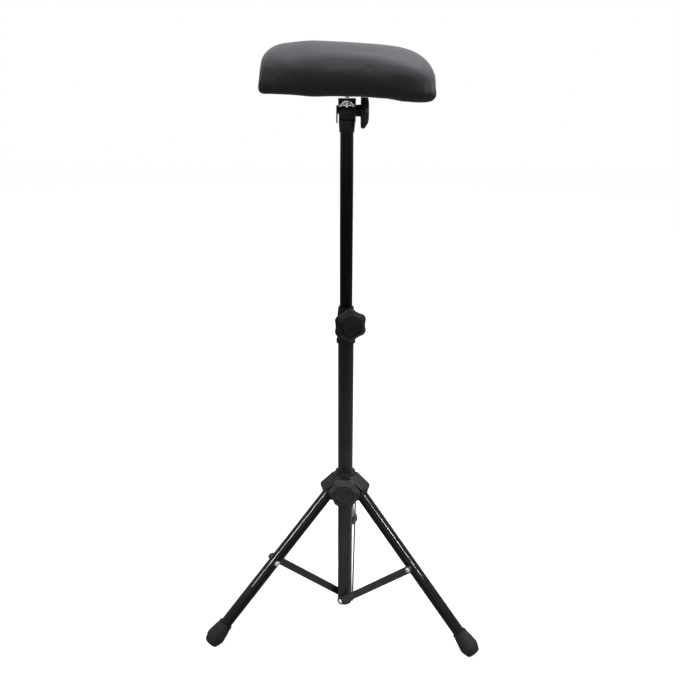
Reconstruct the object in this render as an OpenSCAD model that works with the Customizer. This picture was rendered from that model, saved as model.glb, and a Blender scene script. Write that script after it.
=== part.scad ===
// Folding tripod stand with a telescoping mast, a tilting head and a padded arm rest.
// Millimetres, +Z up. The origin is on the floor, in the middle of the mast's foot.

/* [Mast] */
// Outside diameter of the outer tube
outer_tube_d = 28; // [27:0.5:29]
// Outside diameter of the inner tube
inner_tube_d = 22; // [21:0.5:22]
// Wall thickness of the outer tube
outer_tube_wall = 1.2; // [1:0.1:1.3]
// Wall thickness of the inner tube
inner_tube_wall = 1.2; // [1:0.1:1.5]
// Height of the outer tube's top end
outer_tube_top = 598; // [596:1:599]
// Length of the inner tube
inner_tube_len = 631; // [560:1:650]
// Height of the inner tube's top end, as the stand is set
inner_tube_top = 938; // [936:1:939]
// Thickness of the mast foot below the outer tube's end
mast_foot_h = 4; // [3:0.5:4]
// Length of the mast foot inside the outer tube
mast_foot_plug_len = 22; // [18:1:30]
// Rounding of the mast foot's lower edge
mast_foot_round = 3; // [2:0.5:3]
// Outside height of the inner tube's guide bush
guide_bush_h = 30; // [20:1:40]
// Thickness of the guide bush below the inner tube's end
guide_bush_floor = 3; // [2:0.5:5]

/* [Tripod] */
// Angle of the legs from upright, as they stand
leg_tilt = 44.1; // [43.5:0.1:44.5]
// Direction of the rear leg, seen from above
rear_leg_turn = 87; // [80:1:100]
// Length of a leg from its pivot to the end of its foot
leg_len = 363.6; // [355:0.1:370]
// Outside diameter of a leg
leg_d = 22; // [20:0.5:22]
// Wall thickness of a leg
leg_wall = 1.2; // [1:0.1:1.5]
// Distance of the leg pivots from the mast's middle
leg_pivot_r = 30; // [29.5:0.1:30.5]
// Length of a leg above its pivot
leg_top_len = 7; // [6:0.5:7.5]
// Length of the plug in a leg's top end
leg_plug_len = 20; // [16:1:26]
// Thickness of that plug's rim on the end of the leg
leg_plug_rim = 1; // [0.6:0.1:1.2]
// Distance along a leg from its pivot to the strut
knee_len = 171.3; // [168:0.1:175]

/* [Feet] */
// Length of a rubber foot
foot_len = 45; // [42:0.5:50]
// Diameter of a foot at its open end
foot_neck_d = 27; // [26:0.5:28]
// Largest diameter of a foot
foot_belly_d = 35; // [33:0.5:36]
// Distance of the largest diameter from the foot's end
foot_belly_rise = 14; // [12:0.5:18]
// Diameter of a foot's end face
foot_end_d = 26; // [25:0.5:27]
// Length of the straight neck of a foot
foot_neck_len = 8; // [6:0.5:12]
// Rubber thickness below the leg's end
foot_sole = 7; // [6:0.5:9]
// Rounding of a foot's edges
foot_round = 1; // [0.8:0.1:1.5]
// Depth of the worn flat on which a foot stands
foot_flat = 0.5; // [0.4:0.1:0.8]

/* [Struts] */
// Width of a strut
strut_w = 14; // [13:0.5:15]
// Thickness of a strut
strut_t = 3; // [2.5:0.1:3]
// Height of the lower strut pivots
strut_pivot_z = 9; // [9:0.1:9.5]
// Diameter of the strut rivets
rivet_d = 5; // [4.5:0.1:5]
// Diameter of a rivet's head
rivet_head_d = 10; // [9:0.5:11]
// Height of a rivet's head
rivet_head_h = 2.4; // [2:0.1:3]
// Depth to which a lower rivet enters the mast
anchor_depth = 8; // [6:0.5:8.5]
// Diameter of the collar between a strut and its leg
rivet_collar_d = 9; // [8:0.5:10]

/* [Hub] */
// Depth of the hub's lower end below the leg pivots
hub_drop = 41.7; // [40:0.1:43]
// Height of the hub's top ring above the leg pivots
hub_rise = 32.3; // [31.5:0.1:34]
// Outside diameter of the hub's top ring
hub_ring_d = 38.6; // [38:0.2:40]
// Height of the hub's top ring above the arms
hub_ring_h = 4; // [3:0.5:5]
// Outside diameter of the hub's sleeve
hub_sleeve_d = 34; // [33.6:0.2:35]
// Thickness of the cheeks at each side of a leg
hub_cheek_t = 3; // [2.5:0.1:3]
// Reach of the arms from the mast's middle
hub_arm_reach = 48; // [47.5:0.1:49]
// Height of an arm's outer end above the leg pivots
hub_tip_rise = 11.5; // [11:0.1:13]
// Height of the lip under an arm's outer end above the leg pivots
hub_lip_rise = 4.4; // [4:0.1:5]
// Diameter of the leg pivot pins
leg_pin_d = 6; // [5.5:0.1:6]
// Height of the pins' riveted ends
leg_pin_rise = 1; // [0.8:0.1:1.4]
// Bevel of the hub's lower end
hub_bevel = 1.5; // [1:0.1:2]
// Diameter of the hub's knob boss
hub_boss_d = 23; // [22:0.5:24]
// Reach of the hub's knob boss from the mast's middle
hub_boss_reach = 26.5; // [26:0.1:27]
// Height of the hub's knob above the leg pivots
hub_knob_rise = 6.3; // [5:0.1:7.5]
// Distance of the hub knob's back face from the mast's middle
hub_knob_back = 35; // [34.8:0.1:36]

/* [Height collar] */
// Height of the collar's lower end
collar_bottom = 564; // [560:1:568]
// Height of the collar's top end
collar_top = 630; // [628:1:632]
// Outside diameter of the collar above its lower ring
collar_d = 32; // [31.5:0.1:33]
// Outside diameter of the collar's top end
collar_top_d = 27.5; // [27:0.1:28.2]
// Outside diameter of the collar's lower ring
collar_ring_d = 34; // [33.5:0.1:35]
// Height of the collar's lower ring
collar_ring_h = 6; // [5:0.5:8]
// Diameter of the collar's knob boss
collar_boss_d = 22; // [21:0.5:23]
// Reach of the collar's knob boss from the mast's middle
collar_boss_reach = 21.5; // [21:0.1:22]
// Height of the collar's knob
collar_knob_z = 606; // [605:0.5:608]
// Direction of the collar's knob, seen from above
collar_knob_turn = 283; // [275:1:290]
// Distance of the collar knob's back face from the mast's middle
collar_knob_back = 30; // [29.8:0.1:31]

/* [Star knobs] */
// Number of lobes
knob_lobes = 6; // [5:1:7]
// Diameter of a knob over its lobes
knob_d = 60; // [58:0.5:60]
// Diameter of one lobe
knob_lobe_d = 21; // [18:0.5:23]
// Diameter of a knob between its lobes
knob_core_d = 53; // [50:0.5:55]
// Thickness of a knob at its middle
knob_h = 12; // [12:0.5:14]
// Height of a knob's rim above its back
knob_edge_h = 9; // [8:0.5:10]
// Rounding of a knob's rim
knob_round = 2; // [1.5:0.1:2]
// Diameter of a knob's neck
knob_neck_d = 18.5; // [18:0.1:19]
// Diameter of a knob's cap
knob_cap_d = 34; // [32:0.5:35]
// Thickness of a knob's cap
knob_cap_h = 2.4; // [2:0.1:3]
// Height by which the cap stands out of the knob
knob_cap_rise = 1; // [0.8:0.1:1.4]
// Diameter of the clamping screws
screw_d = 8; // [7.5:0.1:8]
// Size of the clamping screws' heads and nuts across their flats
screw_hex = 13; // [12:0.1:13]
// Height of a clamping screw's head
screw_head_h = 5; // [4.5:0.1:5.5]
// Height of a nut in a boss
boss_nut_h = 4; // [3.5:0.1:4.2]

/* [Mast head] */
// Diameter of the head
head_d = 26.3; // [26:0.1:26.5]
// Diameter of the head's lower rim
head_rim_d = 24.4; // [24.2:0.1:25]
// Height of the head's lower rim above the floor, as the stand is set
head_bottom = 927; // [925:0.5:928]
// Height at which the head reaches its full diameter
head_taper_top = 938; // [934:0.5:940]
// Height of the head's shoulder
head_shoulder = 947; // [946:0.5:947]
// Height of the tilt axis
tilt_axis_z = 960.4; // [960:0.1:961]
// Reach of the right washer's seat in the tongue from the mast's middle
tongue_right = 10.3; // [10:0.1:10.4]
// Reach of the tongue's boss from the mast's middle to the left ear
tongue_left = 13.1; // [12:0.1:13.1]
// Bevel of the head's shoulder
head_bevel = 1.4; // [1:0.1:1.6]
// Diameter of the tongue round the tilt bolt
tongue_d = 15; // [14:0.5:15]
// Diameter of the pin that holds the head on the inner tube
head_pin_d = 4; // [3:0.5:4]
// Height of that pin
head_pin_z = 932.5; // [932:0.1:933]

/* [Tilt bracket] */
// Thickness of the bracket's sheet
bracket_t = 2.3; // [2:0.1:2.3]
// Width of the bracket's top plate
bracket_w = 28.2; // [28:0.1:28.6]
// Height of the bracket's top plate above the tilt axis
bracket_rise = 18.9; // [18.8:0.1:19.5]
// Reach of the top plate in front of the tilt axis
bracket_front = 27; // [26:0.5:28]
// Reach of the top plate behind the tilt axis
bracket_back = 10; // [9:0.5:11]
// Width of the bracket's ears
ear_w = 20; // [18:0.5:20]
// Step of the left ear to the outside
ear_step = 3.2; // [2.5:0.1:3.5]
// Height of that step above the tilt axis
ear_step_rise = 7.8; // [7.5:0.1:8.5]
// Reach of the ears below the tilt axis
ear_drop = 19.5; // [15:0.5:20]
// Height of the back web's lower edge above the tilt axis
web_rise = 8; // [7:0.1:9]
// Diameter of the tilt bolt
tilt_bolt_d = 6; // [5:0.5:6]
// Diameter of the tilt bolt's flush head
tilt_bolt_head_d = 10; // [9:0.5:11]
// Length of the tilt knob's neck
tilt_neck = 8; // [7.5:0.1:8.5]
// Diameter of the threaded insert in the tilt knob
insert_d = 10; // [9:0.5:11]
// Diameter of the friction washers
washer_d = 10.6; // [10:0.1:10.8]
// Distance of the stud in front of the tilt axis
stud_offset = 16; // [15.5:0.1:16.5]
// Diameter of the pad's stud
stud_d = 6; // [5:0.5:6]
// Length of the stud below the pad's board
stud_len = 27; // [25:0.5:29]

/* [Wing nut] */
// Diameter of the wing nut's body
wing_body_d = 10; // [9:0.5:10]
// Height of the wing nut's body
wing_body_h = 4.5; // [4:0.1:5]
// Span of the wings
wing_span = 22; // [20:0.5:22]
// Height of the wing nut over its wings
wing_h = 10; // [9:0.1:10.2]
// Thickness of the wings
wing_t = 2.2; // [1.8:0.1:2.5]
// Width of a wing at its tip
wing_tip_w = 3; // [2.5:0.1:3.5]

/* [Arm rest] */
// Length of the arm rest
pad_w = 268.5; // [260:0.5:272]
// Depth of the arm rest
pad_d = 184; // [176:1:186]
// Height of the cushion over its hem
pad_h = 78.5; // [74:0.5:80]
// Height at which the side starts to round over
pad_side_h = 14; // [10:1:18]
// Roundness of the crown, where 2 is an ellipse and more is boxy
crown_power = 3.2; // [2.6:0.1:3.4]
// Squareness of the cushion's outline
plan_power = 13; // [8:1:16]
// How soon the corners round off with height, where more is sooner
corner_ease = 2.5; // [2:0.1:3]
// Distance by which the hem is drawn in
hem_draw = 4; // [3:0.5:5]
// Width of the hem folded under the board
hem_fold = 18; // [16:0.5:20]
// Depth of the hem below the board
hem_drop = 8.5; // [8.5:0.1:9]
// Thickness of the board
board_t = 9; // [8:0.5:10]
// Distance of the board's edge from the cushion's side
board_inset = 9; // [8:0.5:10]
// Height of the board's underside above the bracket's top plate
board_rise = 14.2; // [14:0.1:14.5]
// Turn of the arm rest on its stud, seen from above
pad_turn = 5; // [0:0.5:6]
// Angle by which the right end of the arm rest hangs lower
pad_lean = 2.9; // [2.5:0.1:2.9]
// Distance of the arm rest's middle to the left of its stud
pad_shift = 4; // [0:0.5:8]
// Diameter of the stud's plate
stud_plate_d = 40; // [38:0.5:40]
// Thickness of the stud's plate
stud_plate_t = 2.2; // [2:0.1:2.2]
// Number of screws in the stud's plate
plate_screws = 4; // [3:1:6]
// Diameter of the plate screws
plate_screw_d = 4; // [3.5:0.1:4]
// Length of the plate screws
plate_screw_len = 9; // [8:0.5:9]
// Diameter of the plate screws' heads
plate_screw_head_d = 7; // [6:0.5:7]
// Height of the plate screws' heads
plate_screw_head_h = 1.2; // [1:0.1:1.4]
// Height of the jam nut on the stud
jam_nut_h = 3.2; // [3:0.1:3.4]
// Size of the jam nut across its flats
jam_nut_hex = 10; // [9:0.1:10]
// Number of staples along each long side
staples_long = 9; // [7:1:11]
// Number of staples along each short side
staples_short = 6; // [4:1:7]
// Width of a staple
staple_w = 10; // [9:0.5:11]
// Thickness of a staple's wire
staple_t = 0.8; // [0.6:0.1:0.9]
// Length of a staple's legs
staple_leg = 14; // [12:0.5:16]

/* [Hidden] */

// Gaps: a tight seat, a turning or sliding fit, and free room between moving pieces
seat_gap = 0.05;
run_gap = 0.07;
free_gap = 0.3;
// Overrun of a cut past the surface that it opens
over = 1;
fine = 96;
// Points round the cushion, levels of its crown and the angle at which the crown's flat top starts
ring_points = 56;
crown_steps = 9;
crown_end = 84;
// Roundness of the crown's top in plan
top_power = 2.6;

left_turn = rear_leg_turn + 120;
right_turn = rear_leg_turn + 240;
hub_knob_turn = rear_leg_turn + 180;

outer_bore_d = outer_tube_d - 2 * outer_tube_wall;
inner_bore_d = inner_tube_d - 2 * inner_tube_wall;
leg_bore_d = leg_d - 2 * leg_wall;
inner_tube_bottom = inner_tube_top - inner_tube_len;

foot_centre_z = foot_end_d / 2 * sin(leg_tilt) - foot_flat;
leg_pivot_z = foot_centre_z + leg_len * cos(leg_tilt);
hub_bottom = leg_pivot_z - hub_drop;
hub_top = leg_pivot_z + hub_rise;
hub_knob_z = leg_pivot_z + hub_knob_rise;
knee_r = leg_pivot_r + knee_len * sin(leg_tilt);
knee_z = leg_pivot_z - knee_len * cos(leg_tilt);
strut_angle = atan2(knee_z - strut_pivot_z, knee_r);
strut_len = norm([knee_r, knee_z - strut_pivot_z]);
strut_side = outer_tube_d / 2 + free_gap;

slot_w = leg_d + 2 * free_gap;
arm_w = slot_w + 2 * hub_cheek_t;
leg_swing_r = norm([leg_top_len, leg_d / 2]) + 2 * free_gap;

bracket_top_z = tilt_axis_z + bracket_rise;
ear_outer = bracket_w / 2;
ear_inner = ear_outer - bracket_t;
tongue_boss_d = 2 * (ear_step_rise - bracket_t - free_gap);
board_z = bracket_top_z + board_rise;
pocket_half = [pad_w / 2 - board_inset + free_gap, pad_d / 2 - board_inset + free_gap];

// Shared shapes

module tube(d, wall, h) {
    difference() {
        cylinder(d = d, h = h, $fn = fine);
        translate([0, 0, -over]) cylinder(d = d - 2 * wall, h = h + 2 * over, $fn = fine);
    }
}

module dome(d, h) {
    ball_r = (pow(d / 2, 2) + pow(h, 2)) / (2 * h);
    intersection() {
        translate([0, 0, h - ball_r]) sphere(r = ball_r, $fn = fine);
        cylinder(d = d, h = h, $fn = fine);
    }
}

module hex_nut(flats, bore, h) {
    difference() {
        cylinder(d = flats / cos(30), h = h, $fn = 6);
        translate([0, 0, -over]) cylinder(d = bore, h = h + 2 * over, $fn = fine);
    }
}

// Turns a shape so that its +Z points away from the mast at the given direction and height
module outward(turn, z) {
    rotate([0, 0, turn]) translate([0, 0, z]) rotate([0, 90, 0]) children();
}

// Places a shape on a leg: the pivot is the origin and the leg runs along -Z
module on_leg(turn) {
    rotate([0, 0, turn]) translate([leg_pivot_r, 0, leg_pivot_z]) rotate([0, -leg_tilt, 0]) children();
}

// A hole along the tangent through the leg at the given distance below its pivot
module leg_cross(drop, d, len) {
    translate([0, len / 2, -drop]) rotate([90, 0, 0]) cylinder(d = d, h = len, $fn = fine);
}

// Star knob

// The back of the disc is at zero, the neck is below it and the face above it
module knob_outline() {
    lobe_r = (knob_d - knob_lobe_d) / 2;
    circle(d = knob_core_d, $fn = fine);
    for (i = [0 : knob_lobes - 1]) {
        rotate(i * 360 / knob_lobes) translate([lobe_r, 0]) circle(d = knob_lobe_d, $fn = fine);
    }
}

module star_knob(neck_len, bore_d, bore_depth) {
    difference() {
        union() {
            intersection() {
                linear_extrude(height = knob_h) knob_outline();
                rotate_extrude($fn = fine) {
                    polygon([[0, 0], [knob_d / 2 - knob_round, 0], [knob_d / 2 + knob_round, knob_round],
                        [knob_d / 2 + knob_round, knob_edge_h],
                        [knob_d / 2 - knob_round, knob_edge_h + knob_round],
                        [knob_cap_d / 2 + knob_round, knob_h], [0, knob_h]]);
                }
            }
            translate([0, 0, -neck_len]) cylinder(d = knob_neck_d, h = neck_len + knob_round, $fn = fine);
        }
        translate([0, 0, -neck_len - over]) cylinder(d = bore_d, h = bore_depth + over, $fn = fine);
        translate([0, 0, knob_h - knob_cap_h + knob_cap_rise]) {
            cylinder(d = knob_cap_d + 2 * seat_gap, h = knob_cap_h, $fn = fine);
        }
        children();
    }
}

module screw_knob(neck_len) {
    star_knob(neck_len, screw_d + 2 * seat_gap, neck_len + knob_h) {
        translate([0, 0, knob_h - knob_cap_h + knob_cap_rise - screw_head_h]) {
            cylinder(d = (screw_hex + 2 * seat_gap) / cos(30), h = screw_head_h + over, $fn = 6);
        }
    }
}

module knob_cap() {
    translate([0, 0, knob_h - knob_cap_h + knob_cap_rise]) rotate_extrude($fn = fine) {
        polygon([[0, 0], [knob_cap_d / 2, 0], [knob_cap_d / 2, knob_cap_h - knob_cap_rise],
            [knob_cap_d / 2 - knob_cap_rise, knob_cap_h - knob_cap_rise / 4],
            [knob_cap_d / 4, knob_cap_h], [0, knob_cap_h]]);
    }
}

// The screw's head is under the cap and its point is at -reach
module knob_screw(reach) {
    head_z = knob_h - knob_cap_h + knob_cap_rise - screw_head_h;
    translate([0, 0, head_z]) cylinder(d = screw_hex / cos(30), h = screw_head_h, $fn = 6);
    translate([0, 0, -reach]) cylinder(d = screw_d, h = reach + head_z, $fn = fine);
}

// Mast

module outer_tube() {
    color("#2b2b2d") difference() {
        translate([0, 0, mast_foot_h]) tube(outer_tube_d, outer_tube_wall, outer_tube_top - mast_foot_h);
        for (turn = [left_turn, right_turn, rear_leg_turn]) {
            outward(turn - 90, strut_pivot_z) {
                cylinder(d = rivet_d + 2 * seat_gap, h = outer_tube_d, $fn = fine);
            }
        }
    }
}

module mast_foot() {
    plug_d = outer_bore_d - 2 * seat_gap;
    color("#1f1f20") difference() {
        union() {
            rotate_extrude($fn = fine) {
                polygon([[0, 0], [outer_tube_d / 2 - mast_foot_round, 0],
                    [outer_tube_d / 2 - mast_foot_round * (1 - sin(45)), mast_foot_round * (1 - cos(45))],
                    [outer_tube_d / 2, mast_foot_round], [outer_tube_d / 2, mast_foot_h], [0, mast_foot_h]]);
            }
            cylinder(d = plug_d, h = mast_foot_h + mast_foot_plug_len, $fn = fine);
        }
        for (turn = [left_turn, right_turn, rear_leg_turn]) {
            outward(turn - 90, strut_pivot_z) {
                translate([0, 0, outer_tube_d / 2 - anchor_depth - seat_gap]) {
                    cylinder(d = rivet_d + 2 * seat_gap, h = anchor_depth + over, $fn = fine);
                }
            }
        }
    }
}

module anchor_rivets() {
    grip = strut_side + strut_t + free_gap;
    shank = grip - outer_tube_d / 2 + anchor_depth;
    color("#c9cbcc") for (turn = [left_turn, right_turn, rear_leg_turn]) {
        outward(turn - 90, strut_pivot_z) {
            translate([0, 0, grip - shank]) cylinder(d = rivet_d, h = shank, $fn = fine);
            translate([0, 0, grip]) dome(rivet_head_d, rivet_head_h);
        }
    }
}

module height_collar() {
    color("#252527") difference() {
        union() {
            translate([0, 0, collar_bottom]) cylinder(d = collar_ring_d, h = collar_ring_h, $fn = fine);
            translate([0, 0, collar_bottom]) {
                cylinder(d = collar_d, h = collar_knob_z - collar_bottom, $fn = fine);
            }
            translate([0, 0, collar_knob_z]) {
                cylinder(d1 = collar_d, d2 = collar_top_d, h = collar_top - collar_knob_z, $fn = fine);
            }
            outward(collar_knob_turn, collar_knob_z) {
                cylinder(d = collar_boss_d, h = collar_boss_reach, $fn = fine);
            }
        }
        translate([0, 0, collar_bottom - over]) {
            cylinder(d = outer_tube_d + 2 * seat_gap, h = outer_tube_top - collar_bottom + over, $fn = fine);
        }
        translate([0, 0, collar_bottom]) {
            cylinder(d = inner_tube_d + 2 * run_gap, h = collar_top - collar_bottom + over, $fn = fine);
        }
        outward(collar_knob_turn, collar_knob_z) {
            cylinder(d = screw_d + 2 * run_gap, h = collar_boss_reach + over, $fn = fine);
            translate([0, 0, collar_boss_reach - boss_nut_h]) {
                cylinder(d = (screw_hex + 2 * seat_gap) / cos(30), h = boss_nut_h + over, $fn = 6);
            }
        }
    }
}

module height_nut() {
    color("#b9bbbc") outward(collar_knob_turn, collar_knob_z) {
        translate([0, 0, collar_boss_reach - boss_nut_h]) {
            hex_nut(screw_hex, screw_d + 2 * run_gap, boss_nut_h);
        }
    }
}

module height_knob_place() {
    outward(collar_knob_turn, collar_knob_z) translate([0, 0, collar_knob_back]) children();
}

module height_knob() {
    color("#1d1d1f") height_knob_place() screw_knob(collar_knob_back - collar_boss_reach - free_gap);
}

module height_knob_cap() {
    color("#232325") height_knob_place() knob_cap();
}

module height_screw() {
    color("#b9bbbc") height_knob_place() knob_screw(collar_knob_back - inner_tube_d / 2 - run_gap);
}

module inner_tube() {
    color("#161617") difference() {
        translate([0, 0, inner_tube_bottom]) tube(inner_tube_d, inner_tube_wall, inner_tube_len);
        outward(0, head_pin_z) translate([0, 0, -head_d]) {
            cylinder(d = head_pin_d + 2 * seat_gap, h = 2 * head_d, $fn = fine);
        }
    }
}

module guide_bush() {
    color("#3a3a3c") difference() {
        translate([0, 0, inner_tube_bottom - guide_bush_floor]) {
            cylinder(d = outer_bore_d - 2 * run_gap, h = guide_bush_h, $fn = fine);
        }
        translate([0, 0, inner_tube_bottom]) {
            cylinder(d = inner_tube_d + 2 * run_gap, h = guide_bush_h, $fn = fine);
        }
        translate([0, 0, inner_tube_bottom - guide_bush_floor - over]) {
            cylinder(d = inner_bore_d, h = guide_bush_h, $fn = fine);
        }
    }
}

// Mast head

// The tongue between the ears, with a narrower boss into the left ear's step.
// A flat on the right clears the right ear, and the right washer sits in a recess.
module mast_head() {
    flat_bottom = tilt_axis_z - ear_drop - free_gap;
    color("#1b1b1c") difference() {
        union() {
            translate([0, 0, head_bottom]) {
                cylinder(d1 = head_rim_d, d2 = head_d, h = head_taper_top - head_bottom, $fn = fine);
            }
            translate([0, 0, head_taper_top]) {
                cylinder(d = head_d, h = head_shoulder - head_taper_top - head_bevel, $fn = fine);
            }
            translate([0, 0, head_shoulder - head_bevel]) {
                cylinder(d1 = head_d, d2 = head_d - 2 * head_bevel, h = head_bevel, $fn = fine);
            }
            for (part = [[ear_inner - free_gap, tongue_d], [tongue_left, tongue_boss_d]]) {
                translate([-part[0], -part[1] / 2, head_shoulder - head_bevel]) {
                    cube([part[0] + ear_inner, part[1], tilt_axis_z - head_shoulder + head_bevel]);
                }
                translate([-part[0], 0, tilt_axis_z]) rotate([0, 90, 0]) {
                    cylinder(d = part[1], h = part[0] + ear_inner, $fn = fine);
                }
            }
        }
        translate([ear_inner - free_gap, -head_d, flat_bottom]) {
            cube([head_d, 2 * head_d, ear_drop + head_d]);
        }
        translate([tongue_right, 0, tilt_axis_z]) rotate([0, 90, 0]) {
            cylinder(d = washer_d + 2 * free_gap, h = ear_inner, $fn = fine);
        }
        translate([0, 0, head_bottom - over]) {
            cylinder(d = inner_tube_d + 2 * seat_gap, h = inner_tube_top - head_bottom + over, $fn = fine);
        }
        translate([-head_d, 0, tilt_axis_z]) rotate([0, 90, 0]) {
            cylinder(d = tilt_bolt_d + 2 * run_gap, h = 2 * head_d, $fn = fine);
        }
        translate([-head_d, 0, head_pin_z]) rotate([0, 90, 0]) {
            cylinder(d = head_pin_d + 2 * seat_gap, h = 2 * head_d, $fn = fine);
        }
    }
}

module head_pin() {
    color("#8f9192") translate([-head_rim_d / 2, 0, head_pin_z]) rotate([0, 90, 0]) {
        cylinder(d = head_pin_d, h = head_rim_d, $fn = fine);
    }
}

// Tilt bracket, with the tilt axis along X

module ear_outline(drop) {
    translate([-ear_w / 2, -drop + ear_w / 2]) square([ear_w, bracket_rise + drop - ear_w / 2]);
    translate([0, -drop + ear_w / 2]) circle(d = ear_w, $fn = fine);
}

// Extrudes an outline drawn in Y and Z between two places along X
module along_x(from, to) {
    translate([from, 0, 0]) rotate([90, 0, 90]) linear_extrude(height = to - from) children();
}

module tilt_bracket() {
    color("#171718") translate([0, 0, tilt_axis_z]) difference() {
        union() {
            translate([-ear_outer, -bracket_front, bracket_rise - bracket_t]) {
                cube([bracket_w, bracket_front + bracket_back, bracket_t]);
            }
            translate([-ear_outer, bracket_back - bracket_t, web_rise]) {
                cube([bracket_w, bracket_t, bracket_rise - web_rise]);
            }
            along_x(ear_inner, ear_outer) ear_outline(ear_drop);
            along_x(-ear_outer, -ear_inner) translate([-ear_w / 2, ear_step_rise - bracket_t]) {
                square([ear_w, bracket_rise - ear_step_rise + bracket_t]);
            }
            along_x(-ear_outer - ear_step, -ear_inner - ear_step) intersection() {
                ear_outline(ear_drop);
                translate([-ear_w, -ear_drop]) square([2 * ear_w, ear_drop + ear_step_rise]);
            }
            along_x(-ear_outer - ear_step, -ear_inner) {
                translate([-ear_w / 2, ear_step_rise - bracket_t]) square([ear_w, bracket_t]);
            }
        }
        rotate([0, 90, 0]) cylinder(d = tilt_bolt_d + 2 * seat_gap, h = 2 * ear_outer, $fn = fine);
        translate([-ear_outer - ear_step, 0, 0]) rotate([0, 90, 0]) {
            cylinder(d1 = tilt_bolt_head_d + 2 * seat_gap, d2 = tilt_bolt_d + 2 * seat_gap,
                h = bracket_t, $fn = fine);
        }
        translate([0, -stud_offset, bracket_rise - bracket_t - over]) {
            cylinder(d = stud_d + 2 * run_gap, h = bracket_t + 2 * over, $fn = fine);
        }
    }
}

module tilt_bolt() {
    head_x = -ear_outer - ear_step;
    reach = ear_outer + free_gap + tilt_neck + knob_h / 2;
    color("#9a9c9d") translate([head_x, 0, tilt_axis_z]) rotate([0, 90, 0]) {
        cylinder(d1 = tilt_bolt_head_d, d2 = tilt_bolt_d, h = bracket_t, $fn = fine);
        cylinder(d = tilt_bolt_d, h = reach - head_x, $fn = fine);
    }
}

module tilt_washers() {
    wall = (washer_d - tilt_bolt_d) / 2 - run_gap;
    color("#2c2c2e") translate([0, 0, tilt_axis_z]) rotate([0, 90, 0]) {
        translate([0, 0, tongue_right + seat_gap]) tube(washer_d, wall, ear_inner - tongue_right - seat_gap);
        translate([0, 0, -ear_inner - ear_step]) {
            tube(washer_d, wall, ear_inner + ear_step - tongue_left - seat_gap);
        }
    }
}

module tilt_knob_place() {
    translate([ear_outer + free_gap + tilt_neck, 0, tilt_axis_z]) rotate([0, 90, 0]) {
        rotate(180 / knob_lobes) children();
    }
}

module tilt_knob() {
    color("#1d1d1f") tilt_knob_place() {
        star_knob(tilt_neck, insert_d + 2 * seat_gap, tilt_neck + knob_h - knob_cap_h + over);
    }
}

module tilt_knob_cap() {
    color("#232325") tilt_knob_place() knob_cap();
}

module tilt_insert() {
    color("#b08d4a") tilt_knob_place() translate([0, 0, -tilt_neck]) {
        tube(insert_d, (insert_d - tilt_bolt_d) / 2 - run_gap, tilt_neck + knob_h / 2);
    }
}

// Stud, wing nut and arm rest

module at_stud(z) {
    translate([0, -stud_offset, z]) children();
}

module wing_nut() {
    wing_top = bracket_top_z - bracket_t;
    root = wing_body_d / 4;
    color("#d2d4d5") at_stud(wing_top) mirror([0, 0, 1]) difference() {
        union() {
            cylinder(d = wing_body_d, h = wing_body_h, $fn = fine);
            for (side = [-1, 1]) {
                translate([0, wing_t / 2, 0]) rotate([90, 0, 0]) linear_extrude(height = wing_t) {
                    polygon([[0, 0], [side * wing_body_d / 2, 0],
                        [side * wing_span / 2, wing_h - wing_tip_w], [side * wing_span / 2, wing_h],
                        [side * (wing_span / 2 - wing_tip_w), wing_h],
                        [side * root, wing_body_h], [0, wing_body_h]]);
                }
            }
        }
        translate([0, 0, -over]) cylinder(d = stud_d + 2 * run_gap, h = wing_h + 2 * over, $fn = fine);
    }
}

module pad_stud() {
    color("#a7a9aa") at_stud(board_z - stud_len) cylinder(d = stud_d, h = stud_len + board_t, $fn = fine);
}

module pad_place() {
    at_stud(board_z) rotate([0, 0, pad_turn]) rotate([0, pad_lean, 0]) children();
}

module plate_screw_spots() {
    for (i = [0 : plate_screws - 1]) {
        rotate([0, 0, (i + 1 / 2) * 360 / plate_screws]) translate([stud_plate_d / 3, 0, 0]) children();
    }
}

module stud_plate() {
    stud_hole_d = stud_d + 2 * free_gap;
    color("#242426") pad_place() difference() {
        translate([0, 0, -stud_plate_t]) cylinder(d = stud_plate_d, h = stud_plate_t, $fn = fine);
        translate([0, 0, -stud_plate_t - over]) {
            cylinder(d = stud_hole_d, h = stud_plate_t + 2 * over, $fn = fine);
        }
        plate_screw_spots() translate([0, 0, -stud_plate_t - over]) {
            cylinder(d = plate_screw_d + 2 * seat_gap, h = stud_plate_t + 2 * over, $fn = fine);
        }
    }
}

module plate_screws_set() {
    color("#8b8d8e") pad_place() plate_screw_spots() translate([0, 0, -stud_plate_t]) {
        cylinder(d = plate_screw_d, h = plate_screw_len, $fn = fine);
        mirror([0, 0, 1]) dome(plate_screw_head_d, plate_screw_head_h);
    }
}

module jam_nut() {
    drop = stud_plate_t + jam_nut_hex / 2 * sin(pad_lean) + seat_gap;
    color("#c9cbcc") at_stud(board_z - drop - jam_nut_h) {
        hex_nut(jam_nut_hex, stud_d + 2 * seat_gap, jam_nut_h);
    }
}

// Moves from the stud to the middle of the arm rest, under the board
module pad_middle() {
    pad_place() translate([-pad_shift, stud_offset, 0]) children();
}

module pad_board() {
    half = pocket_half - [free_gap, free_gap];
    color("#6b5a45") difference() {
        pad_middle() linear_extrude(height = board_t) polygon(pad_ring(half[0], half[1], plan_power));
        at_stud(board_z - over) cylinder(d = stud_d + 2 * free_gap, h = board_t + 4 * over, $fn = fine);
        pad_place() plate_screw_spots() translate([0, 0, -over]) {
            cylinder(d = plate_screw_d + 2 * seat_gap, h = plate_screw_len + over, $fn = fine);
        }
    }
}

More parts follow.
